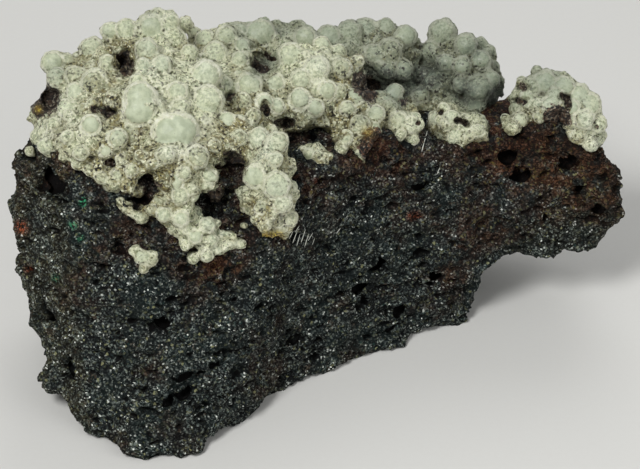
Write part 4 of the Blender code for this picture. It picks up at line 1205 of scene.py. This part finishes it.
def grow_crust(settings, node_name, piece_name, laid, laid_radii, bead_count, seed):
    """The crust as one skin of even faces, from its body and its globules, with its hollows opened. The
    centres, radii and growth axes of the sown globules come with it."""
    points, faces, normals = crust_body(node_name)
    # The body lies back where no laid-out globule is within half a millimetre and the viewer sees it
    bare = smooth_step(globule_gaps(points, laid, laid_radii), -0.1, 0.55)
    bare *= smooth_step(toward_view(normals), 0.0, 0.4)
    furrow = settings.furrow_depth / MM * (1.0 - np.clip(patch_sum(points, FLUSH_PATCHES), 0.0, 0.8))
    points = points - normals * (bare * furrow)[:, None]
    sown = sow_beads(points, faces, laid, laid_radii, bead_count, seed)
    parts = [(points - normals * 0.1, faces)] + crust_balls(laid, laid_radii, *sown[:2])
    crust = link_mesh(piece_name, mesh_of(piece_name, parts))
    fuse(crust, settings.grain * 1.1)
    set_points(crust.data, open_hollows(points_of(crust.data), normals_of(crust.data)))
    fuse(crust, settings.grain)
    drop_crumbs(crust.data, LEAST_CRUMB)
    return crust, sown


def mark_crust(mesh, points, packed_crust, heart, rim, sunk, dust):
    """Keep on the crust where it is clear, white, furrowed, dusty, shaded, hollow and stained. The grey hearts,
    white rims and highlights are painted light, and furrows, shaded places and hollows get painted shade.
    """
    # The far mass of crust, at the back of the block and right of the dome, gets painted shade
    far = smooth_step(points[:, 1], 11.0, 16.0) * smooth_step(points[:, 0], -9.0, -4.0)
    keep_marks(mesh, {
        "heart": heart,
        "rim": rim,
        # The creases get painted shade
        "crease": smooth_step(sunk, 0.0, 0.24),
        "dust": dust,
        # Painted shade in the listed shaded places and on the far mass
        "shade": 0.55 * far + patch_sum(points, SHADE_PATCHES),
        "hollow": hollow_rock_and_shade(points, packed_crust) + patch_sum(points, BARE_PATCHES),
        "rust": 0.2 + patch_sum(points, RUST_PATCHES),
        "yellow": patch_sum(points, YELLOW_SPOTS),
        "bright": patch_sum(points, WHITE_AND_HIGHLIGHT_PATCHES) * (1.0 - heart),
    })


def build_crust(settings, node_name, piece_name, globules, lift, bead_count, face_limit, seed):
    """One grown-together crust: its body, its laid-out globules and the beads between them."""
    packed_crust = tree_of(node_name)
    laid, laid_radii, laid_axes = laid_out_globules(packed_crust, globules, lift)
    crust, sown = grow_crust(settings, node_name, piece_name, laid, laid_radii, bead_count, seed)
    mesh = crust.data
    edges = edges_of(mesh)
    points = eased(points_of(mesh), edges, rounds=1, strength=0.4)
    set_points(mesh, points)
    normals = normals_of(mesh)
    points, under = press_to_rock(points, normals, tree_of("lava"))

    # The laid-out globules and the larger sown ones have hearts
    knobs = sown[1] > LEAST_KNOB
    centres, radii, axes = [np.concatenate([own, other[knobs]])
                            for own, other in zip((laid, laid_radii, laid_axes), sown)]
    strengths = heart_strengths(centres, radii, np.random.default_rng(seed + 50))
    heart, rim = heart_values(points, lumps(points, size=0.9, seed=seed + 9), centres, radii, axes, strengths)
    sunk = sunk_below(points, edges, normals, rounds=12)
    # Dust lies in wandering patches, and less of it on tops, on rims and on hearts
    wander = lumps(points, size=3.4, seed=seed + 3)
    dust = 0.5 + 0.6 * wander + patch_sum(points, DUST_PATCHES) - 0.35 * normals[:, 2] - 0.5 * rim - heart

    # Hearts and rims are smooth, and the rest is frosted and sugary
    rough = np.clip(1.0 - 2.0 * heart - 0.6 * rim, 0.0, 1.0)
    frost = lumps(points, size=0.6, seed=seed + 5)
    swell = lumps(points, size=2.0, seed=seed + 6, octaves=2)
    sugar = lumps(points, size=0.36, seed=seed + 7, octaves=2) * np.clip(dust, 0.0, 1.0)
    height = (frost + 0.6 * sugar) * settings.frost_height / MM * rough
    height += swell * settings.swell_height / MM * (0.5 + 0.5 * rough)
    points = points + normals * height[:, None]
    set_points(mesh, points)
    mark_crust(mesh, points, packed_crust, heart, rim, sunk, dust)
    back_facing = smooth_step(-toward_view(normals), -0.1, 0.3)
    finish_shape(crust, face_limit, np.maximum(under, 0.7 * back_facing))
    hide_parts(node_name)
    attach(crust, "root")
    return crust


def needle_material():
    """Sal ammoniac in hair-fine needles."""
    # They are clear and smooth, so they look white and glossy.
    material, tree, found = start_material("clear white salt needles", noises=[("cloud", 0.4, 2.0, 0.5)])
    colour = lay_coats(tree, found, "#D4D8CC", [("#F2F4EA", "cloud")])
    return finish_material(material, tree, {"Base Color": colour, "Roughness": 0.3})


def floor_material():
    """Matt paper."""
    # It is plain and pale, so nothing on it draws the eye from the specimen.
    material, tree, found = start_material("matt pale studio floor", noises=[("fibre", 0.6, 2.0, 0.5)])
    colour = lay_coats(tree, found, "#D8D7D3", [("#DADAD6", "fibre")])
    return finish_material(material, tree, {"Base Color": colour, "Roughness": 0.9})


def build_needles(settings):
    """Fine white needles and a hair-like fibre that lie on the rock beside the crust."""
    tree = tree_of("lava")
    ball, faces = ball_shape(2)
    parts = []
    for across, up, end_across, end_up, thickness in NEEDLES:
        ends = []
        for spot in ((across, up), (end_across, end_up)):
            place, facing = on_surface(tree, *spot)
            ends.append(np.array(place + facing.normalized() * settings.lift / MM))
        along = ends[1] - ends[0]
        length = np.linalg.norm(along)
        turn = Vector(along).to_track_quat("Z", "Y").to_matrix()
        points = ball * np.array((thickness, thickness, length / 2)) @ np.array(turn).T
        parts.append((points + (ends[0] + ends[1]) / 2, faces))
    needles = link_mesh("salt_needles", mesh_of("salt_needles", parts))
    needles.data.materials.append(needle_material())
    smooth_shaded(needles)
    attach(needles, "root")
    return needles


def build_floor():
    """A pale, plain studio floor."""
    bm = bmesh.new()
    bmesh.ops.create_grid(bm, x_segments=1, y_segments=1, size=FLOOR_SIZE * MM)
    mesh = bpy.data.meshes.new("studio_floor")
    bm.to_mesh(mesh)
    bm.free()
    floor = link_mesh("studio_floor", mesh)
    floor.data.materials.append(floor_material())
    return floor


def add_light(name, place, size, power):
    """A square soft light at a place in millimetres that shines on the specimen."""
    data = bpy.data.lights.new(name, "AREA")
    data.shape = "SQUARE"
    data.size = size * MM
    data.energy = power
    lamp = bpy.data.objects.new(name, data)
    bpy.context.scene.collection.objects.link(lamp)
    lamp.location = Vector(place) * MM
    aim = LIGHT_AIM * MM - lamp.location
    lamp.rotation_euler = aim.to_track_quat("-Z", "Y").to_euler()
    return lamp


def add_camera():
    """A camera at the view that the specimen was laid out on, sharp at every depth."""
    data = bpy.data.cameras.new("front_camera")
    data.sensor_width = SENSOR_WIDTH
    data.lens = SENSOR_WIDTH * EYE_DISTANCE / FRAME_WIDTH
    data.clip_start = CLIP_NEAR * MM
    data.clip_end = CLIP_FAR * MM
    data.dof.use_dof = False
    camera = bpy.data.objects.new("front_camera", data)
    bpy.context.scene.collection.objects.link(camera)
    camera.location = (AIM + TOWARD * EYE_DISTANCE) * MM
    camera.rotation_euler = (-TOWARD).to_track_quat("-Z", "Y").to_euler()
    return camera


def build_stage(settings):
    """The floor, the lights, the pale surroundings and the camera."""
    build_floor()
    for name, place, size, share in LIGHTS:
        add_light(name, place, size, settings.key_power * share)
    world = bpy.data.worlds.new("pale studio")
    world.use_nodes = True
    background = world.node_tree.nodes["Background"]
    background.inputs["Color"].default_value = linear(SURROUNDINGS_COLOUR)
    background.inputs["Strength"].default_value = SURROUNDINGS_STRENGTH
    scene = bpy.context.scene
    scene.world = world
    scene.view_settings.view_transform = "Standard"
    scene.camera = add_camera()


class SPECIMEN_OT_rock(bpy.types.Operator):
    """Build the lava block"""
    bl_idname = "specimen.rock"
    bl_label = "Lava block"

    def execute(self, context):
        build_lava_block(context.scene.specimen_rock)
        return {"FINISHED"}


class SPECIMEN_OT_crusts(bpy.types.Operator):
    """Grow the sal ammoniac crusts on the block"""
    bl_idname = "specimen.crusts"
    bl_label = "Sal ammoniac crusts"

    def execute(self, context):
        settings = context.scene.specimen_crust
        material = salt_material(settings)
        for node_name, piece_name, globules, lifts, beads, face_limit, seed in CRUSTS:
            piece = build_crust(settings, node_name, piece_name, globules, lifts * settings.globule_lift,
                                beads or settings.bead_count, face_limit or settings.face_limit, seed)
            piece.data.materials.append(material)
        return {"FINISHED"}


class SPECIMEN_OT_needles(bpy.types.Operator):
    """Lay the fine needles on the rock"""
    bl_idname = "specimen.needles"
    bl_label = "Salt needles"

    def execute(self, context):
        build_needles(context.scene.specimen_needles)
        return {"FINISHED"}


class SPECIMEN_OT_stage(bpy.types.Operator):
    """Set up the floor, the lights and the camera"""
    bl_idname = "specimen.stage"
    bl_label = "Floor, lights and camera"

    def execute(self, context):
        build_stage(context.scene.specimen_stage)
        return {"FINISHED"}


class SPECIMEN_PT_panel(bpy.types.Panel):
    """Lists the specimen's builders"""
    bl_label = "Specimen"
    bl_idname = "SPECIMEN_PT_panel"
    bl_space_type = "VIEW_3D"
    bl_region_type = "UI"
    bl_category = "Specimen"

    def draw(self, context):
        for operator, group, settings_type in BUILDERS:
            box = self.layout.box()
            box.operator(operator.bl_idname)
            settings = getattr(context.scene, group)
            for name in settings.__annotations__:
                box.prop(settings, name)


# Each operator, the name of its settings in the scene, and what they are
BUILDERS = [
    (SPECIMEN_OT_rock, "specimen_rock", RockSettings),
    (SPECIMEN_OT_crusts, "specimen_crust", CrustSettings),
    (SPECIMEN_OT_needles, "specimen_needles", NeedleSettings),
    (SPECIMEN_OT_stage, "specimen_stage", StageSettings),
]


def register():
    """Make the settings, the operators and the panel known to Blender."""
    for operator, group, settings_type in BUILDERS:
        bpy.utils.register_class(settings_type)
        setattr(bpy.types.Scene, group, PointerProperty(type=settings_type))
        bpy.utils.register_class(operator)
    bpy.utils.register_class(SPECIMEN_PT_panel)


def unregister():
    """Take the settings, the operators and the panel away again."""
    bpy.utils.unregister_class(SPECIMEN_PT_panel)
    for operator, group, settings_type in reversed(BUILDERS):
        bpy.utils.unregister_class(operator)
        delattr(bpy.types.Scene, group)
        bpy.utils.unregister_class(settings_type)


def main():
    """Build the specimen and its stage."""
    register()
    bpy.ops.specimen.rock()
    bpy.ops.specimen.crusts()
    bpy.ops.specimen.needles()
    bpy.ops.specimen.stage()


if __name__ == "__main__":
    main()
